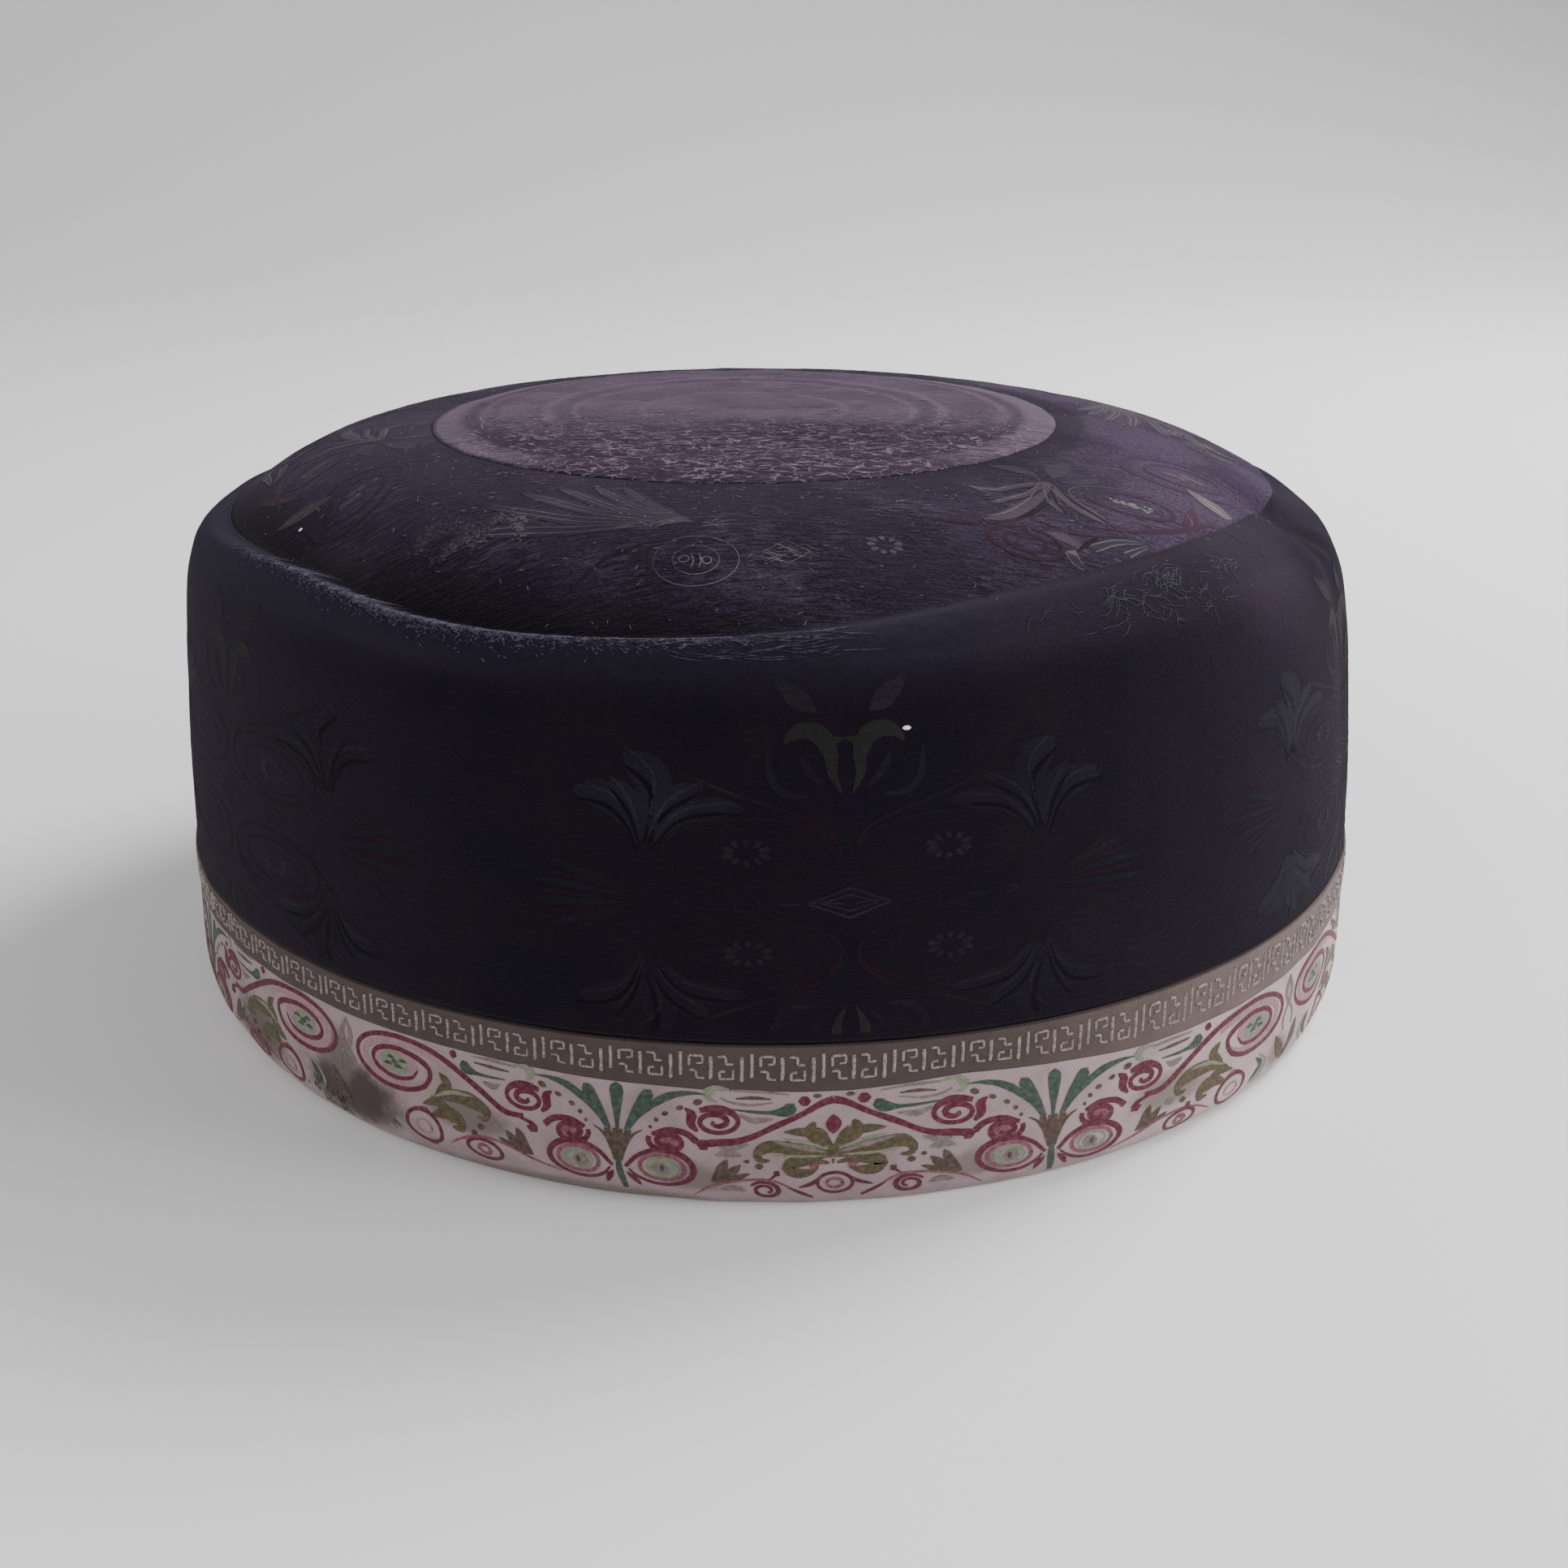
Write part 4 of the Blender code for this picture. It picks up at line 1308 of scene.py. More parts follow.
def draw_scroll(c, m, at):
    """The big scroll between palmette and seam of the chart; at is the palmette's axis."""
    line = line_by(m, at)
    spiral_with_beak(c, m, (at + 13.6, 10.6), back=-1.0)
    c.comma("crimson", line((12.9, 15.4), (12.6, 14.3), (13.6, 13.8), (15.2, 13.5)), 1.3)
    c.stroke("crimson", line((14.0, 13.3), (17.0, 13.2), (20.4, 11.2), (24.4, 9.0), (27.6, 7.6), (31.0, 6.8),
                             (35.4, 6.6), (39.6, 7.3), (42.4, 8.9), (43.2, 10.9), (41.6, 12.9), (38.0, 14.2),
                             (33.8, 14.1), (30.6, 12.9), (29.4, 11.3)),
             (0.5, 0.6, 0.62, 0.62, 0.6, 0.55, 0.5, 0.5, 0.5, 0.5, 0.5, 0.5, 0.5, 0.5, 0.5))
    c.layer = 0
    c.dot("pink", m(at + 35.8, 10.6), 9.0, 4.9)
    c.stroke("pink", line((27.8, 8.6), (31.4, 7.6), (35.6, 7.5), (39.3, 8.3), (41.4, 9.8), (41.3, 11.6),
                          (39.2, 13.0), (35.8, 13.6), (32.4, 13.1), (30.2, 11.9)),
             (0.5, 0.9, 1.1, 1.1, 1.1, 1.1, 1.1, 1.0, 0.9, 0.4))
    c.layer = 1
    c.stroke("crimson", line((29.4, 11.4), (29.5, 10.0), (31.6, 8.9), (35.2, 8.4), (38.6, 9.1), (40.0, 10.5),
                             (39.2, 11.9), (36.2, 12.8), (32.9, 12.2), (31.6, 10.8)),
             (0.5, 0.6, 0.55, 0.5, 0.5, 0.5, 0.5, 0.45, 0.4, 0.2))
    c.dot("mint", m(at + 35.9, 10.7), 5.6, 2.9)
    c.layer = 2
    for dx, dv in ((-1.4, -0.4), (0.9, -0.5), (-0.5, 0.6), (1.4, 0.5), (0.1, 0.0)):
        x = at + 35.7 + dx
        c.leaf("teal", [m(x - 0.8, 10.6 + dv), m(x + 0.1, 10.4 + dv), m(x + 0.8, 10.7 + dv)], 0.5)
    c.dot("brown", m(at + 35.9, 10.6), 0.7, 0.5)
    c.layer = 1
    c.dot("crimson", m(at + 25.1, 6.7), 1.3, 0.8, 15.0)
    c.comma("teal", line((23.6, 7.2), (22.9, 8.3), (20.4, 8.7), (16.6, 8.6)), 1.5)
    c.stroke("mint", line((15.2, 6.2), (13.4, 6.1), (12.5, 7.0), (13.4, 8.0)), (0.2, 0.7, 1.2, 0.3))
    c.stroke("brown", line((21.6, 7.1), (18.8, 7.2), (16.0, 7.3)), (0.15, 0.4, 0.15))
    c.stroke("smoke", line((22.0, 6.3), (18.6, 6.2), (15.0, 6.4)), (0.1, 0.35, 0.2))
    c.leaf("smoke", line((17.4, 9.4), (18.6, 10.0), (20.4, 9.6)), 0.7)
    c.leaf("olive", line((28.6, 13.4), (26.4, 11.6), (27.8, 10.0)), 1.2)
    c.stroke("olive", line((29.6, 14.4), (26.0, 13.0), (22.6, 12.9), (20.0, 13.9), (20.2, 15.2),
                           (21.4, 15.0)), (0.3, 1.0, 1.5, 1.6, 1.0, 0.2))
    c.leaf("mint", line((29.0, 13.9), (25.6, 12.4), (22.0, 12.2)), 0.55)
    c.leaf("olive", line((31.0, 15.4), (28.2, 14.6), (25.2, 15.6)), 0.9)
    c.stroke("olive", line((29.4, 16.8), (27.0, 15.8), (24.6, 16.3), (24.3, 17.6), (25.8, 17.6)),
             (0.3, 1.3, 1.5, 1.0, 0.2))
    c.dot("brown", m(at + 21.0, 16.4), 1.3, 0.7)
    c.dot("smoke", m(at + 18.6, 15.8), 1.8, 0.8)
    bow(c, m, (at + 12.8, 18.9), back=-1.0)
    c.comma("crimson", line((22.6, 17.3), (21.6, 18.0), (20.2, 18.0)), 0.9)
    c.stroke("mauve", line((9.0, 20.8), (13.0, 19.6), (17.0, 18.2), (21.0, 17.9), (24.4, 19.0), (27.0, 20.6)),
             (0.12, 0.3, 0.32, 0.32, 0.3, 0.12))
    c.ring("crimson", m(at + 21.0, 20.0), 5.6, 3.4, 0.4)
    c.dot("mauve", m(at + 21.0, 20.0), 2.6, 1.7)
    c.dot("mauve", m(at + 31.2, 19.0), 6.0, 5.0)
    c.ring("crimson", m(at + 31.2, 19.0), 6.2, 5.2, 0.4)
    c.ring("pink", m(at + 31.2, 19.0), 2.8, 2.2, 0.3)
    c.leaf("teal", line((36.8, 16.2), (38.4, 18.2), (36.2, 20.8)), 0.9)
    c.stroke("mint", line((37.8, 16.0), (39.8, 18.4), (37.6, 21.6)), (0.2, 0.7, 0.2))
    c.leaf("smoke", line((45.5, 6.6), (44.6, 9.2), (45.5, 11.6)), 0.7)
    c.stroke("smoke", line((45.5, 11.0), (43.9, 13.0), (44.2, 15.0)), (0.35, 0.3, 0.15))
    c.leaf("brown", line((42.0, 15.0), (43.6, 18.0), (45.5, 20.6)), 1.6)


# Where the palmette's axis lies along the chart
PALM_AXIS = 28.7


def make_print():
    chart = Chart(list(DYES), seed=11)
    chart.mirrored(draw_heart)
    chart.stroke("olive", [(0.0, 13.9), (0.0, 15.6)], (0.8, 1.2))
    chart.leaf("crimson", [(0.0, 9.6), (0.0, 11.0), (0.0, 12.4)], 1.35)
    for sign in (1.0, -1.0):
        def m(x, v, sign=sign):
            return (sign * x, v)

        def back(x, v, sign=sign):
            return (sign * (2 * PALM_AXIS - x), v)
        draw_palm(chart, m, PALM_AXIS)
        draw_palm(chart, back, PALM_AXIS)
        draw_palm_axis(chart, sign * PALM_AXIS)
        draw_scroll(chart, m, PALM_AXIS)

    def place_of(u, v):
        azimuth = chart_azimuth(u)
        way = v * MM + round_the_cap(DROP, azimuth)
        in_stain = np.hypot((azimuth + 38.2) / 5.0, (v - 17.6) / 5.6) < 1.0
        stained = in_stain & (v > 13.4 + 0.3 * (azimuth + 38.0))
        return azimuth, way, (way < 0.0250) & (way > 0.0050) & ~stained

    materials = [dye_material(name, deep, thin) for name, (deep, thin) in DYES.items()]
    return wrapped(chart, "scroll_print", materials, on_trim, place_of, 0.00002,
                   copies_round(REPEAT, 4), side=-1.0, base=0.000035)


# Damask, fibres and loose threads

# Piles of the wall's figure: where they catch the light, and where they are faint
DAMASK = {
    "lily": ((0.0205, 0.0208, 0.0205), (0.0145, 0.0142, 0.0140)),
    "pale": ((0.0225, 0.0208, 0.0275), (0.0130, 0.0112, 0.0158)),
    "smoke": ((0.0142, 0.0128, 0.0190), (0.0096, 0.0078, 0.0124)),
    "plum": ((0.0190, 0.0072, 0.0140), (0.0120, 0.0056, 0.0102)),
    "shade": ((0.0040, 0.0033, 0.0062), (0.0050, 0.0040, 0.0068)),
}

# The same for the crown's figure, and their paler colour on its right, painted as sheen where light grazes it
CROWN_DAMASK = {
    "lily": ((0.066, 0.047, 0.060), (0.035, 0.023, 0.033), (0.112, 0.081, 0.101)),
    "pale": ((0.125, 0.116, 0.130), (0.046, 0.040, 0.054), (0.132, 0.112, 0.130)),
    "smoke": ((0.034, 0.028, 0.042), (0.021, 0.016, 0.027), (0.060, 0.043, 0.064)),
    "plum": ((0.026, 0.010, 0.022), (0.017, 0.008, 0.017), (0.055, 0.033, 0.055)),
    "crimson": ((0.032, 0.012, 0.022), (0.020, 0.009, 0.016), (0.074, 0.036, 0.058)),
    "shade": ((0.0070, 0.0050, 0.0090), (0.0085, 0.0060, 0.0110), (0.034, 0.024, 0.040)),
    "gem": ((0.095, 0.095, 0.084), (0.045, 0.044, 0.042), (0.215, 0.222, 0.196)),
    "bright": ((0.20, 0.185, 0.185), (0.085, 0.078, 0.084), (0.20, 0.185, 0.185)),
}

# Degrees of azimuth that a millimetre of the wall takes, and where the wall's figure lies and repeats.
# Its middle is the height from which its leaves spread up and down
MM_TO_DEGREE = 180.0 / (math.pi * 92.0)
DAMASK_AXIS = 5.5
DAMASK_REPEAT = 60.0 / MM_TO_DEGREE
FIGURE_MIDDLE = 43.1


def damask_material(name, tone, faint, right=None):
    """Pile brushed another way: the figure shows only where it catches the light. Right is a paler copy of
    its colour, painted on the right of the crown as sheen where light grazes the pile."""
    material, net, shader = new_material(name, FIGURE_PILE)
    place = cloth_place(net)
    values = {"Place": place, "Deep": faint, "Worn": tone, "Tint": faint, "Patchiness": 0.9, "Depth": 0.35}
    pile = net.node("ShaderNodeGroup", values, node_tree=pile_group())
    colour = pile.outputs["Color"]
    if right:
        # Painted sheen: the paler copy takes over on the crown's right.
        uneven = net.mix(net.noise(place, 0.9, 3.0, 0.7), toned(right, 0.6), right)
        colour = net.mix(sheen_and_lie_share(net), colour, uneven)
    paint(net, shader, colour, pile.outputs["Normal"])
    return material


def rosette(c, dye, centre, across, high, petals=8):
    """Petals round a centre."""
    for i in range(petals):
        angle = 2 * math.pi * (i + 0.5) / petals
        ends = [(centre[0] + far * across * math.cos(angle), centre[1] + far * high * math.sin(angle))
                for far in (0.22, 0.5)]
        c.leaf(dye, ends, 0.22 * high, 0.6)


def shaded_leaf(c, m, points, width):
    """A leaf with a painted highlight along one side and painted shade along the other."""
    c.leaf("smoke", [m(*p) for p in points], width, 0.66)
    c.leaf("pale", [m(x, v + 0.24 * width) for x, v in points], 0.36, 0.6)
    c.leaf("shade", [m(x + 0.1 * width, v - 0.34 * width) for x, v in points], 0.20 * width, 0.6)


def draw_lily(c, m, foot, up):
    """Two drooping petals on a stem with thin leaves beside it; up is 1, or -1 for a hanging one."""
    line = line_by(lambda x, v: m(x, foot + v * up))
    c.stroke("lily", line((0.6, 0.0), (1.7, 2.6), (1.8, 5.0), (2.9, 7.2), (4.9, 7.9), (6.6, 7.2), (7.3, 6.3)),
             (0.15, 0.95, 1.6, 2.3, 2.3, 1.8, 0.4))
    c.stroke("lily", line((0.0, 6.9), (1.4, 6.6), (2.4, 6.9)), (0.2, 1.0, 1.3))
    c.leaf("smoke", line((2.3, 0.6), (4.3, 2.7), (5.6, 5.2)), 0.8, 0.7)
    c.stroke("smoke", line((4.4, -0.1), (7.2, 0.1), (9.1, 2.0), (9.6, 5.6)), (0.2, 0.8, 0.8, 0.2))
    c.leaf("pale", line((8.4, 14.5), (5.8, 12.0), (3.2, 10.0)), 2.5, 0.6)


def spread(side, *points):
    """Places counted up from the middle of the wall's figure, or down where side is -1."""
    return [(x, FIGURE_MIDDLE + side * v) for x, v in points]


def draw_damask_half(c, m):
    """Half a repeat of the wall's figure; x is counted from its axis and v up the wall from z 0."""
    line = line_by(m)
    for centre, side in (((11.8, 49.6), 1.0), ((11.8, 36.6), -1.0)):
        x, v = centre
        c.ring("plum", m(x, v), 21.6, 8.6, 0.38)
        c.ring("plum", m(x + 0.5, v), 15.0, 6.0, 0.3)
        rosette(c, "pale", m(x + 0.6, v), 6.4, 3.6, 10)
        vine = spread(side, (0.9, 7.6), (3.2, 10.0), (7.5, 11.8), (12.4, 13.2), (18.2, 15.4), (22.6, 17.4))
        c.stroke("plum", line(*vine), (0.55, 0.45, 0.4, 0.4, 0.3, 0.15))
        c.stroke("pale", line(*spread(side, (9.5, 12.5), (14.5, 14.2), (19.5, 16.2))), (0.08, 0.16, 0.08))
    draw_lily(c, m, 56.8, 1.0)
    draw_lily(c, m, 29.4, -1.0)
    c.stroke("pale", line((6.0, 43.0), (8.6, 43.0)), (0.1, 0.22))
    square = line((11.0, 42.1), (14.0, 42.1), (14.0, 44.0), (11.0, 44.0), (11.0, 42.1))
    c.stroke("smoke", square, (0.25, 0.25), straight=True)
    c.stroke("pale", line((14.6, 43.0), (17.6, 43.0)), (0.22, 0.1))
    c.stroke("pale", line((19.6, 43.8), (21.4, 43.1), (19.6, 42.4)), (0.12, 0.26, 0.12), straight=True)
    fan = (
        (((25.4, 7.0), (26.6, 10.4), (29.2, 12.8), (33.6, 13.4)), 2.9),
        (((25.0, 7.6), (26.4, 12.0), (28.8, 15.2)), 2.5),
        (((24.6, 8.0), (23.4, 12.6), (23.6, 15.6), (27.0, 18.6)), 3.6),
        (((24.2, 7.8), (21.8, 12.0), (17.2, 14.9)), 2.6),
        (((23.8, 7.2), (20.2, 11.0), (15.4, 12.1), (12.4, 11.9)), 2.2),
    )
    for side in (1.0, -1.0):
        for points, width in fan:
            shaded_leaf(c, m, spread(side, *points), width)
        c.stroke("plum", line(*spread(side, (25.2, 7.2), (22.0, 4.6), (20.4, 2.2))), (0.4, 0.3, 0.1))
    for k in range(9):
        v = 37.4 + 1.45 * k
        reach = 40.5 - 0.35 * (k - 4) ** 2
        points = line((27.0, 43.0 + 0.25 * (v - 43.0)), (33.0, v * 0.7 + 43.0 * 0.3), (reach, v))
        c.leaf("smoke" if k % 2 else "plum", points, 0.7, 0.62)


def make_wall_damask():
    chart = Chart(list(DAMASK), seed=21)
    chart.mirrored(draw_damask_half)
    for across, high, width in ((10.0, 3.9, 0.42), (7.0, 2.1, 0.3)):
        ends = [(across / 2, 0), (0, high / 2), (-across / 2, 0), (0, -high / 2), (across / 2, 0)]
        for a, b in zip(ends, ends[1:]):
            chart.stroke("pale", [(a[0], 43.0 + a[1]), (b[0], 43.0 + b[1])], (width, width * 0.6, width))
    chart.stroke("pale", [(-4.0, 43.0), (-0.8, 43.0)], (0.12, 0.3))
    chart.stroke("pale", [(0.8, 43.0), (4.4, 43.3)], (0.3, 0.12))

    def place_of(x, z):
        way = (z - SIDE[0][1]) * MM
        return DAMASK_AXIS + x * MM_TO_DEGREE, way, way > 0.0004

    materials = [damask_material("damask_wall_" + name, *tones) for name, tones in DAMASK.items()]
    return wrapped(chart, "wall_damask", materials, on_velvet, place_of, 0.00002,
                   copies_round(DAMASK_REPEAT, 6), base=0.00001)


# How many threads are tried on the disc, and fibres along the lip, over it and at the frayed hem
DISC_THREADS = 2000
LIP_FIBRES = 3200
LONG_LIP_FIBRES = 84
FRAYED_THREADS = 90


def make_disc_threads():
    """Loose light threads that lie sideways on the disc, most of them on its near half."""
    chart = Chart(["light", "dark"], seed=61)
    draws = random.Random(62)
    for _ in range(DISC_THREADS):
        radius = MEDALLION_RADIUS / MM * math.sqrt(draws.random()) * 0.985
        angle = draws.uniform(0, 2 * math.pi)
        x, y = radius * math.sin(angle), radius * math.cos(angle)
        if draws.random() > 0.10 + 0.90 * float(smooth((4.0 - y) / 34.0)):
            continue
        if radius > 43.5 and abs(x) > 20.0 and draws.random() < 0.8:
            continue
        length = draws.choice((0.5, 0.9, 1.6, 2.6))
        tilt = draws.gauss(0.0, 0.24)
        if radius > 41.0 and y < 0:
            tilt += math.atan2(x, -y) * 0.9
        width = draws.uniform(0.06, 0.20)
        dye = "light" if draws.random() < 0.6 else "dark"
        lay_fibre(chart, dye, (x, y), half_step(length, tilt), [(x, y + draws.uniform(-0.1, 0.1))],
                  toned((0.4, 1.0, 0.8, 0.3), width), rough=0.3)

    def place_of(x, y):
        return x, y, np.hypot(x, y) < MEDALLION_RADIUS / MM * 0.99

    light = looks().disc_light
    materials = [mottled_material(name, DISC_THREAD, toned(light, tone), toned(light, tone * 0.6 + 0.2), 1.4)
                 for name, tone in (("disc_light_thread", 3.0), ("disc_dark_thread", 0.16))]
    return wrapped(chart, "disc_threads", materials, on_disc, place_of, 0.00003,
                   base=0.00003)


def crown_place(x, y):
    """From a place in plan, in millimetres, to azimuth and way."""
    radius = np.hypot(x, y)
    azimuth = np.degrees(np.arctan2(x, -y))
    past = radius * MM - seam_at(azimuth)[0]
    level = (azimuth > 15.0) & (azimuth < 75.0)
    shown = (past < -0.0005) | (level & (past > 0.0004))
    return azimuth, way_at_radius(np.maximum(radius, 1.0) * MM), shown


def draw_scratches(c, dye, centre, spread, count, reach, tilt, draws):
    """Fine crossing threads round a centre."""
    for _ in range(count):
        x, y = centre[0] + draws.gauss(0.0, spread[0]), centre[1] + draws.gauss(0.0, spread[1])
        half, lean = draws.uniform(*reach), draws.uniform(-tilt, tilt)
        lay_fibre(c, dye, (x, y), (half, lean), [(x + 0.1 * lean, y + 0.1)], (0.03, 0.10, 0.03))


def draw_petal(c, points, width):
    """A broad petal with painted shade in a crease on one side and a painted highlight on its other edge."""
    c.leaf("lily", points, width, 0.66)
    c.leaf("shade", [(x + 0.26 * width, y - 0.16 * width) for x, y in points], 0.30 * width, 0.6)
    c.leaf("pale", [(x - 0.30 * width, y + 0.16 * width) for x, y in points], 0.24, 0.6)


def draw_crown_left(c, draws):
    """The part of the crown's figure that lies at the front and the left."""
    ring = (-8.3, -70.8)
    c.ring("pale", ring, 11.0, 8.4, 0.13)
    c.ring("pale", ring, 6.0, 4.8, 0.14)
    for dx, dy, across, high in ((-1.5, 0.2, 1.4, 1.1), (1.4, -0.2, 1.2, 1.3)):
        c.ring("bright", (ring[0] + dx, ring[1] + dy), across, high, 0.14)
    for side in (-0.3, 0.7):
        c.stroke("bright", [(ring[0] + side - 0.3, ring[1] + 1.2), (ring[0] + side, ring[1] - 0.2),
                            (ring[0] + side - 0.4, ring[1] - 1.3)], (0.08, 0.2, 0.08))
    middle = (3.3, -69.6)
    draw_scratches(c, "bright", middle, (1.1, 0.9), 16, (0.8, 2.0), 1.0, draws)
    diamond = ((3.0, 0), (0, 2.1), (-3.0, 0), (0, -2.1), (3.0, 0))
    c.stroke("bright", [(middle[0] + x, middle[1] + y) for x, y in diamond], (0.12, 0.05, 0.12, 0.05, 0.12),
             straight=True)
    rosette(c, "pale", (15.9, -67.4), 5.0, 3.8, 9)
    c.ring("smoke", (15.9, -67.4), 9.0, 7.0, 0.2)
    rosette(c, "smoke", (1.0, -60.5), 5.0, 3.6, 9)
    foot = (-8.5, -63.5)
    for tip, bend in (((-18.0, -50.5), 2.0), ((-22.0, -49.5), 3.0), ((-27.0, -49.0), 4.0),
                      ((-32.0, -50.0), 4.5), ((-37.0, -53.0), 4.5), ((-41.0, -58.0), 3.5)):
        middle = ((foot[0] + tip[0]) / 2 - 0.2 * bend, (foot[1] + tip[1]) / 2 - bend * 0.5)
        c.leaf("smoke", [foot, middle, tip], 1.9, 0.7)
        for side in (0.55, -0.55):
            c.leaf("pale", [foot, (middle[0], middle[1] + side), (tip[0], tip[1] + side)], 0.20, 0.7)
    draw_scratches(c, "bright", (-10.5, -63.0), (3.2, 1.4), 18, (0.8, 3.0), 1.2, draws)
    draw_scratches(c, "pale", (-20.0, -58.0), (12.0, 5.0), 60, (0.5, 2.2), 0.8, draws)
    draw_scratches(c, "pale", (4.0, -57.0), (16.0, 4.0), 70, (0.5, 1.8), 0.35, draws)
    sprays = (
        (((-37.0, -60.5), (-40.0, -56.0), (-44.0, -55.5), (-46.5, -58.5)), 3.4),
        (((-37.0, -60.5), (-39.5, -59.5), (-43.0, -61.5)), 2.2),
        (((-37.0, -60.5), (-34.5, -57.0), (-31.5, -58.5), (-31.5, -62.0)), 2.4),
    )
    for points, width in sprays:
        c.leaf("smoke", points, width, 0.62)
        for x, y in np.repeat(eased_line(np.array(points), 6), 12, axis=0):
            size = draws.uniform(0.20, 0.50)
            place = (x + draws.gauss(0.0, 0.30 * width), y + draws.gauss(0.0, 0.30 * width))
            c.dot("pale", place, size, size * 0.6)
    c.stroke("plum", [(-26.0, -74.0), (-20.0, -69.0), (-14.0, -67.0)], (0.2, 0.5, 0.2))


def draw_crown_right(c, draws):
    """The part that lies at the right: a palmette, two eyes, a star and a leaf like an S."""
    foot = (40.0, -43.6)
    draw_petal(c, [foot, (36.0, -46.5), (32.0, -49.4), (28.6, -48.0)], 2.2)
    draw_petal(c, [foot, (36.5, -49.4), (31.4, -53.6)], 1.7)
    draw_petal(c, [foot, (37.6, -51.0), (33.6, -56.6), (29.4, -58.6)], 3.4)
    draw_petal(c, [foot, (39.6, -49.4), (40.6, -54.0)], 2.0)
    draw_petal(c, [foot, (42.4, -50.0), (47.0, -54.6)], 2.6)
    c.leaf("smoke", [(39.0, -42.4), (36.6, -38.6), (32.6, -36.8)], 2.2, 0.6)
    c.leaf("smoke", [(41.0, -42.0), (42.2, -37.6), (44.2, -33.6)], 2.6, 0.6)
    c.leaf("smoke", [(41.6, -43.0), (45.4, -41.6), (48.0, -38.6)], 1.6, 0.6)
    draw_scratches(c, "pale", (43.0, -34.0), (2.6, 2.6), 9, (0.8, 2.6), 1.8, draws)
    c.ring("lily", (51.0, -46.6), 17.0, 9.6, 0.30)
    c.ring("plum", (51.0, -46.6), 12.0, 6.6, 0.70)
    for _ in range(38):
        x, y = draws.uniform(-2.8, 2.8), draws.uniform(-0.8, 0.8)
        across, high, turn = draws.uniform(0.4, 1.0), draws.uniform(0.25, 0.5), draws.uniform(-40, 40)
        c.dot("gem", (51.0 + x, -46.8 + y - 0.22 * x), across, high, turn)
    c.ring("plum", (61.5, -30.5), 18.0, 13.0, 0.80)
    c.ring("plum", (61.5, -30.5), 11.0, 8.0, 0.60)
    for x, y in ((-2.0, 0.3), (-0.6, -0.5), (0.8, 0.4), (2.0, -0.3), (0.0, 0.9)):
        c.dot("lily", (61.8 + x, -30.9 + y), 2.0, 1.3, draws.uniform(-30, 30))
    c.leaf("lily", [(61.0, -35.4), (63.8, -38.8), (67.0, -42.8)], 3.0, 0.5)
    for side in (1.0, -1.0):
        c.leaf("gem", [(61.0, -35.4), (63.8 + 0.9 * side, -38.8 + 0.5 * side), (67.0, -42.8)], 0.34, 0.5)
    c.leaf("gem", [(61.8, -36.4), (63.9, -39.0), (66.2, -41.8)], 0.7, 0.5)
    c.leaf("crimson", [(60.4, -42.0), (58.8, -49.6), (57.6, -54.0)], 1.5, 0.5)
    c.stroke("crimson", [(44.0, -56.0), (50.0, -54.6), (57.0, -50.4), (62.6, -45.6), (66.0, -47.6)],
             (0.12, 0.4, 0.7, 0.5, 0.2))
    c.stroke("crimson", [(36.0, -56.8), (42.0, -58.6), (49.0, -56.2)], (0.12, 0.3, 0.12))
    c.stroke("crimson", [(66.0, -38.0), (69.0, -34.0), (70.0, -28.0)], (0.2, 0.4, 0.15))
    for dye, narrow in (("gem", 0.0), ("smoke", 0.7)):
        c.stroke(dye, [(40.2, -62.6), (41.4, -65.4), (45.2, -63.8), (48.4, -60.2), (52.0, -56.6)],
                 (1.8 - narrow, 1.4 - narrow, 1.4 - narrow, 1.1 - narrow, 0.2))
        c.stroke(dye, [(43.4, -61.2), (47.2, -58.2), (51.8, -56.4)], (1.5 - narrow, 1.2 - narrow, 0.2))
    c.leaf("lily", [(37.6, -59.6), (40.6, -60.4), (43.0, -62.6)], 1.9, 0.4)
    c.leaf("shade", [(41.4, -62.4), (43.0, -60.2), (44.8, -58.0)], 0.8, 0.5)
    c.ring("crimson", (34.6, -62.6), 9.6, 6.8, 0.36)
    c.ring("crimson", (34.6, -62.6), 5.6, 3.8, 0.4)
    c.stroke("crimson", [(14.0, -58.0), (22.0, -60.5), (30.0, -59.6), (38.0, -55.0)], (0.15, 0.36, 0.4, 0.15))
    draw_scratches(c, "pale", (24.0, -62.0), (6.0, 4.0), 26, (0.6, 1.6), 0.25, draws)


def make_crown_damask():
    chart = Chart(list(CROWN_DAMASK), seed=31)
    draws = random.Random(33)
    draw_crown_left(chart, draws)
    draw_crown_right(chart, draws)
    materials = [damask_material("damask_crown_" + name, *tones) for name, tones in CROWN_DAMASK.items()]
    return wrapped(chart, "crown_damask", materials, on_velvet, crown_place, 0.00002,
                   [Matrix.Rotation(math.radians(turn), 4, "Z") for turn in (120.0, 240.0)], base=0.00002)


def on_top(azimuth, way):
    """Places on the crown's cloth and, inside the disc's edge, on the disc."""
    place = on_velvet(azimuth, way)
    lean = LEAN * np.clip(place[..., 2] / CAP_HEIGHT, 0, 1) ** LEAN_POWER
    far = np.hypot(place[..., 0] + lean - MEDALLION_SHIFT, place[..., 1])
    place[..., 2] += np.where(far < MEDALLION_RADIUS, MEDALLION_THICKNESS + CLOTH_GAP, 0.0)
    return place


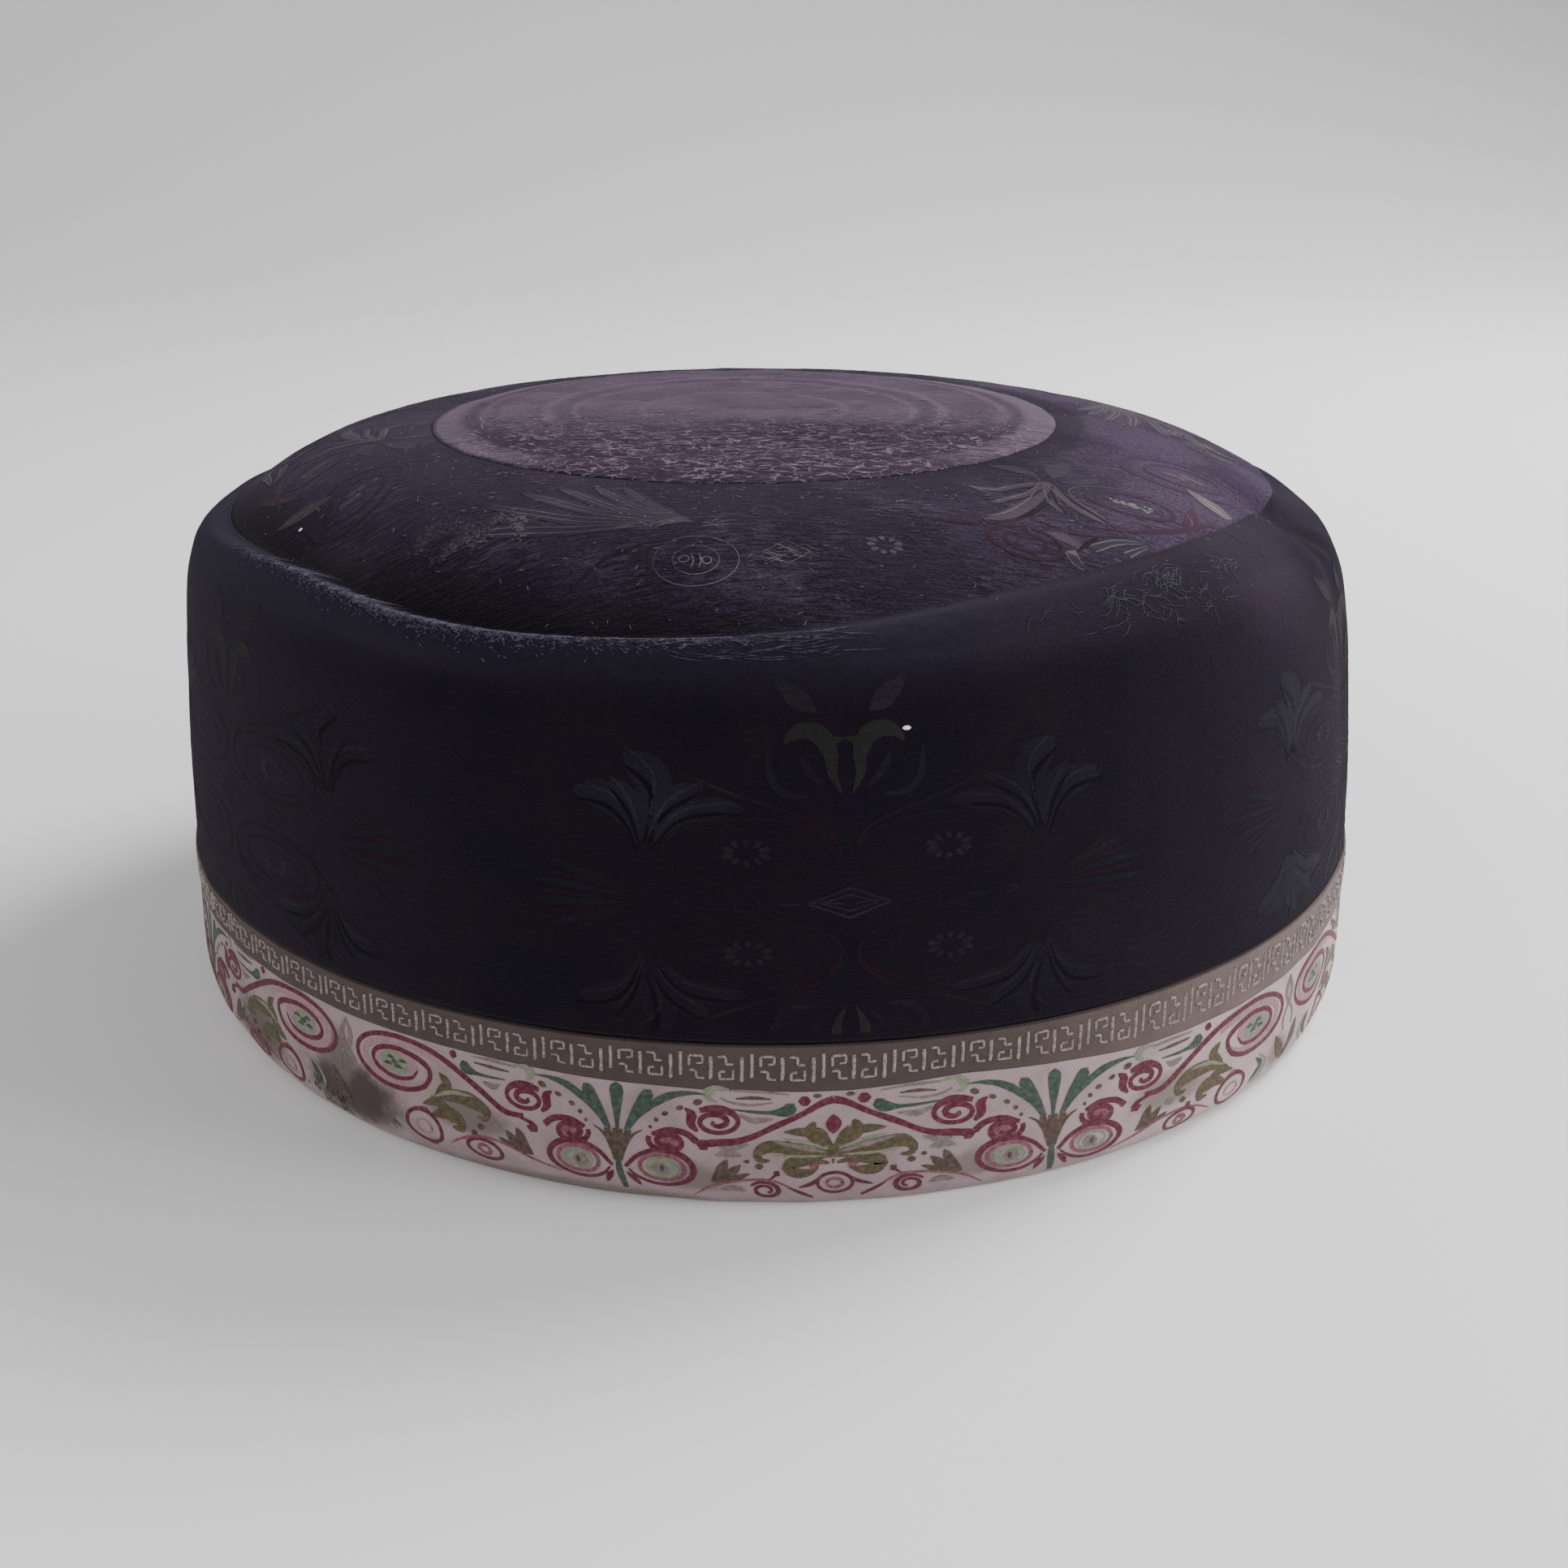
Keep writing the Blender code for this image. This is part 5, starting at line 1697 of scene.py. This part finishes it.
def make_lint():
    """Loose pale fibres, most of them on the near half of the crown and its disc."""
    chart = Chart(["fibre", "speck"], seed=41)
    draws = random.Random(42)
    disc_middle, disc_edge = MEDALLION_SHIFT / MM, MEDALLION_RADIUS / MM
    for _ in range(looks().lint_count):
        x = draws.gauss(0.0, 34.0)
        y = -abs(draws.gauss(26.0, 30.0)) if draws.random() < 0.8 else draws.uniform(0.0, 78.0)
        if math.hypot(x, y) > 83.0 or abs(math.hypot(x - disc_middle, y) - disc_edge) < 1.4:
            continue
        turn = draws.gauss(0.0, 0.7)
        length = draws.choice((0.2, 0.3, 0.45, 0.8))
        step = half_step(length, turn)
        bend = draws.uniform(-0.25, 0.25) * length
        width = draws.uniform(0.04, 0.07)
        lay_fibre(chart, "fibre", (x, y), step, [(x - step[1] * bend, y + step[0] * bend)],
                  (width * 0.5, width, width * 0.5), least=2)

    for x, y, across, high, lie in ((16.2, -89.2, 1.05, 0.08, 10.3), (-66.0, -40.0, 0.7, 0.6, 0.0)):
        chart.dot("speck", (x, y), across, high, lie)

    def place_of(x, y):
        azimuth, way, _ = crown_place(x, y)
        return azimuth, way, np.ones(len(x), bool)

    fibres = [plain_material("loose_fibre", LOOSE_FIBRE, (0.18, 0.155, 0.19)),
              plain_material("pale_speck", LOOSE_FIBRE, (0.85, 0.83, 0.76))]
    return wrapped(chart, "lint", fibres, on_top, place_of, 0.00004, base=0.00012)


# Tangles of dark thread on the lip: middle and spread in millimetres, and how many threads
TANGLES = (((63.4, 3.4), (2.2, 0.9), 42), ((77.4, 3.8), (1.8, 0.8), 26), ((52.0, 3.6), (2.0, 0.8), 16),
           ((64.0, 6.6), (8.0, 1.8), 70), ((50.0, 5.6), (6.0, 1.2), 24))


def make_lip_pile():
    """Short open pile standing along the lip's front left, paler than the velvet below: a painted highlight.
    """
    chart = Chart(["pile", "wire"], seed=51)
    draws = random.Random(52)
    for _ in range(LIP_FIBRES):
        x = draws.triangular(-62.0, 2.0, -28.0) / MM_TO_DEGREE
        down = abs(draws.gauss(0.0, 1.0)) * 1.1 + 0.5
        turn = draws.uniform(-0.8, 0.8)
        length = draws.uniform(0.25, 0.65)
        lay_fibre(chart, "pile", (x, down), half_step(length, turn), (), (0.04, 0.15, 0.04), least=2)
    for _ in range(LONG_LIP_FIBRES):
        x, down = draws.uniform(-12.0, 12.0), draws.uniform(-0.6, 4.5)
        step = draws.uniform(1.2, 4.0), draws.gauss(0.0, 0.35)
        lay_fibre(chart, "pile", (x, down), step, [(x, down + draws.gauss(0.0, 0.1))], (0.03, 0.09, 0.03))
    for centre, spread_of, count in TANGLES:
        for _ in range(count):
            x, down = centre[0] + draws.gauss(0.0, spread_of[0]), centre[1] + draws.gauss(0.0, spread_of[1])
            turn, reach = draws.uniform(-1.5, 1.5), draws.uniform(0.7, 2.0)
            step, bend = (reach * math.cos(turn), 0.7 * reach * math.sin(turn)), draws.gauss(0.0, 0.3)
            middle = (x - step[1] * bend, down + step[0] * bend)
            lay_fibre(chart, "wire", (x, down), step, [middle], (0.02, 0.055, 0.02))

    def place_of(x, down):
        azimuth = x * MM_TO_DEGREE
        seam_way = way_at_radius(seam_at(azimuth)[0])
        way = seam_way - LIP_WIDTH * (1.0 - LIP_CREST) * 0.75 - (down - 1.2) * MM
        return azimuth, way, way < seam_way - 0.0018

    # Its paleness is a painted highlight where light grazes the lip.
    pile = mottled_material("open_pile_highlight", OPEN_PILE, (0.020, 0.018, 0.030), (0.078, 0.069, 0.104), 0.8,
                            low=0.35, high=0.65)
    wire = plain_material("lip_thread", LOOSE_FIBRE, (0.040, 0.041, 0.052))
    return wrapped(chart, "lip_pile", [pile, wire], on_velvet, place_of, 0.00005, base=0.00008)


def make_frayed_hem():
    """Threads that have come loose at the hem beside the stain."""
    chart = Chart(["light", "dark"], seed=71)
    draws = random.Random(72)
    for _ in range(FRAYED_THREADS):
        x = draws.gauss(-68.0, 1.9)
        v = 20.4 + draws.gauss(0.0, 1.0)
        turn = math.pi / 2 + draws.gauss(0.0, 0.4)
        step = half_step(draws.uniform(0.5, 1.6), turn)
        dye = "light" if draws.random() < 0.55 else "dark"
        lay_fibre(chart, dye, (x, v), step, [(x + draws.uniform(-0.3, 0.3), v)], (0.05, 0.12, 0.04))

    def place_of(x, v):
        return x / TURN * 360.0, v * MM, v < 24.6

    materials = [plain_material("fray_light", FRAYED_THREAD, (0.25, 0.20, 0.18)),
                 plain_material("fray_dark", FRAYED_THREAD, (0.05, 0.036, 0.030))]
    return wrapped(chart, "frayed_threads", materials, on_trim, place_of, 0.00006, side=-1.0,
                   base=0.00009)


# Stage

# The floor: how far it reaches, where it starts to bend up behind the cap, and the bend's radius
FLOOR_REACH = 4.0
FLOOR_BEND_START = 0.9
FLOOR_BEND = 1.2

# Lights: name, place, aim, size and power
LIGHTS = (
    ("key_light", (0.70, 0.50, 0.90), (0, 0, 0.05), 0.6, 17.0),
    ("side_light", (1.05, -0.25, 0.42), (0, 0, 0.05), 0.6, 8.0),
    ("front_light", (-0.70, -1.0, 0.55), (0, 0, 0.04), 0.9, 6.0),
)
WORLD_STRENGTH = 0.45

# The camera that was fitted to the photo
CAMERA_LENS = 43.94
CAMERA_SENSOR = 36.0
CAMERA_PLACE = (-0.0026, -0.3051, 0.1395)
CAMERA_AIM = (0.0020, 0.0, 0.0232)
CAMERA_ROLL = 0.0017


def area_light(name, place, aim, size, power):
    data = bpy.data.lights.new(name, "AREA")
    data.shape = "DISK"
    data.size = size
    data.energy = power
    light = bpy.data.objects.new(name, data)
    light.location = place
    light.rotation_euler = (Vector(aim) - Vector(place)).to_track_quat("-Z", "Y").to_euler()
    bpy.context.scene.collection.objects.link(light)
    return light


def make_stage():
    scene = bpy.context.scene
    sheet = bmesh.new()
    bmesh.ops.create_grid(sheet, x_segments=1, y_segments=60, size=FLOOR_REACH)
    for vertex in sheet.verts:
        run = max(0.0, vertex.co.y - FLOOR_BEND_START)
        angle = min(run / FLOOR_BEND, math.pi / 2)
        rise = max(0.0, run - FLOOR_BEND * math.pi / 2)
        vertex.co.y = min(vertex.co.y, FLOOR_BEND_START) + FLOOR_BEND * math.sin(angle)
        vertex.co.z = FLOOR_BEND * (1 - math.cos(angle)) + rise
    floor = finished(sheet, "floor", [plain_material("floor_paper", PAPER, (0.94, 0.94, 0.945))])
    lights = [area_light(*light) for light in LIGHTS]
    world = scene.world or bpy.data.worlds.new("studio")
    scene.world = world
    world.use_nodes = True
    back = next(n for n in world.node_tree.nodes if n.type == "BACKGROUND")
    back.inputs["Color"].default_value = (1.0, 1.0, 1.0, 1.0)
    back.inputs["Strength"].default_value = WORLD_STRENGTH
    camera = bpy.data.objects.new("camera", bpy.data.cameras.new("camera"))
    scene.collection.objects.link(camera)
    camera.data.lens = CAMERA_LENS
    camera.data.sensor_width = CAMERA_SENSOR
    camera.location = CAMERA_PLACE
    look = (Vector(CAMERA_AIM) - camera.location).to_track_quat("-Z", "Y")
    camera.rotation_euler = (look.to_matrix() @ Matrix.Rotation(CAMERA_ROLL, 3, "Z")).to_euler()
    scene.camera = camera


# The add-on


class PieceOperator:
    """What the operators share: they make their pieces and say when nothing came of it."""
    bl_options = {"REGISTER", "UNDO"}

    def execute(self, context):
        before = set(bpy.data.objects)
        for make in self.makers:
            make()
        if set(bpy.data.objects) == before:
            raise RuntimeError(f"{self.bl_label} made nothing")
        return {"FINISHED"}


class CAP_OT_wall(PieceOperator, bpy.types.Operator):
    """Make the velvet wall with its rounded lip"""
    bl_idname = "cap.wall"
    bl_label = "Wall"
    makers = (make_wall,)


class CAP_OT_crown(PieceOperator, bpy.types.Operator):
    """Make the velvet crown that goes under the lip"""
    bl_idname = "cap.crown"
    bl_label = "Crown"
    makers = (make_crown,)


class CAP_OT_disc(PieceOperator, bpy.types.Operator):
    """Make the woven disc on the crown"""
    bl_idname = "cap.disc"
    bl_label = "Woven disc"
    makers = (make_disc, make_disc_threads)


class CAP_OT_ribbon(PieceOperator, bpy.types.Operator):
    """Make the taupe ribbon and its raised key pattern"""
    bl_idname = "cap.ribbon"
    bl_label = "Key ribbon"
    makers = (make_ribbon, make_key)


class CAP_OT_band(PieceOperator, bpy.types.Operator):
    """Make the folded cotton band and its printed scrolls"""
    bl_idname = "cap.band"
    bl_label = "Scroll band"
    makers = (make_band, make_print, make_frayed_hem)


class CAP_OT_damask(PieceOperator, bpy.types.Operator):
    """Lay the faint figure on the velvet"""
    bl_idname = "cap.damask"
    bl_label = "Damask"
    makers = (make_wall_damask, make_crown_damask)


class CAP_OT_lint(PieceOperator, bpy.types.Operator):
    """Scatter loose fibres on the cap and raise the pile along its lip"""
    bl_idname = "cap.lint"
    bl_label = "Lint"
    makers = (make_lint, make_lip_pile)


class CAP_OT_stage(PieceOperator, bpy.types.Operator):
    """Set the floor, the lights and the camera"""
    bl_idname = "cap.stage"
    bl_label = "Stage"
    makers = (make_stage,)


OPERATORS = (CAP_OT_wall, CAP_OT_crown, CAP_OT_disc, CAP_OT_ribbon, CAP_OT_band, CAP_OT_damask, CAP_OT_lint,
             CAP_OT_stage)


class CAP_PT_panel(bpy.types.Panel):
    """Sizes, colours and pieces of the cap"""
    bl_label = "Prayer cap"
    bl_idname = "CAP_PT_panel"
    bl_space_type = "VIEW_3D"
    bl_region_type = "UI"
    bl_category = "Cap"

    def draw(self, context):
        for key in CapLooks.__annotations__:
            self.layout.prop(context.scene.cap_looks, key)
        for operator in OPERATORS:
            self.layout.operator(operator.bl_idname)


def register():
    for kind in (CapLooks, *OPERATORS, CAP_PT_panel):
        bpy.utils.register_class(kind)
    bpy.types.Scene.cap_looks = bpy.props.PointerProperty(type=CapLooks)


def unregister():
    del bpy.types.Scene.cap_looks
    for kind in (CAP_PT_panel, *reversed(OPERATORS), CapLooks):
        bpy.utils.unregister_class(kind)


def main():
    register()
    bpy.ops.cap.wall()
    bpy.ops.cap.crown()
    bpy.ops.cap.disc()
    bpy.ops.cap.ribbon()
    bpy.ops.cap.band()
    bpy.ops.cap.damask()
    bpy.ops.cap.lint()
    bpy.ops.cap.stage()


if __name__ == "__main__":
    main()
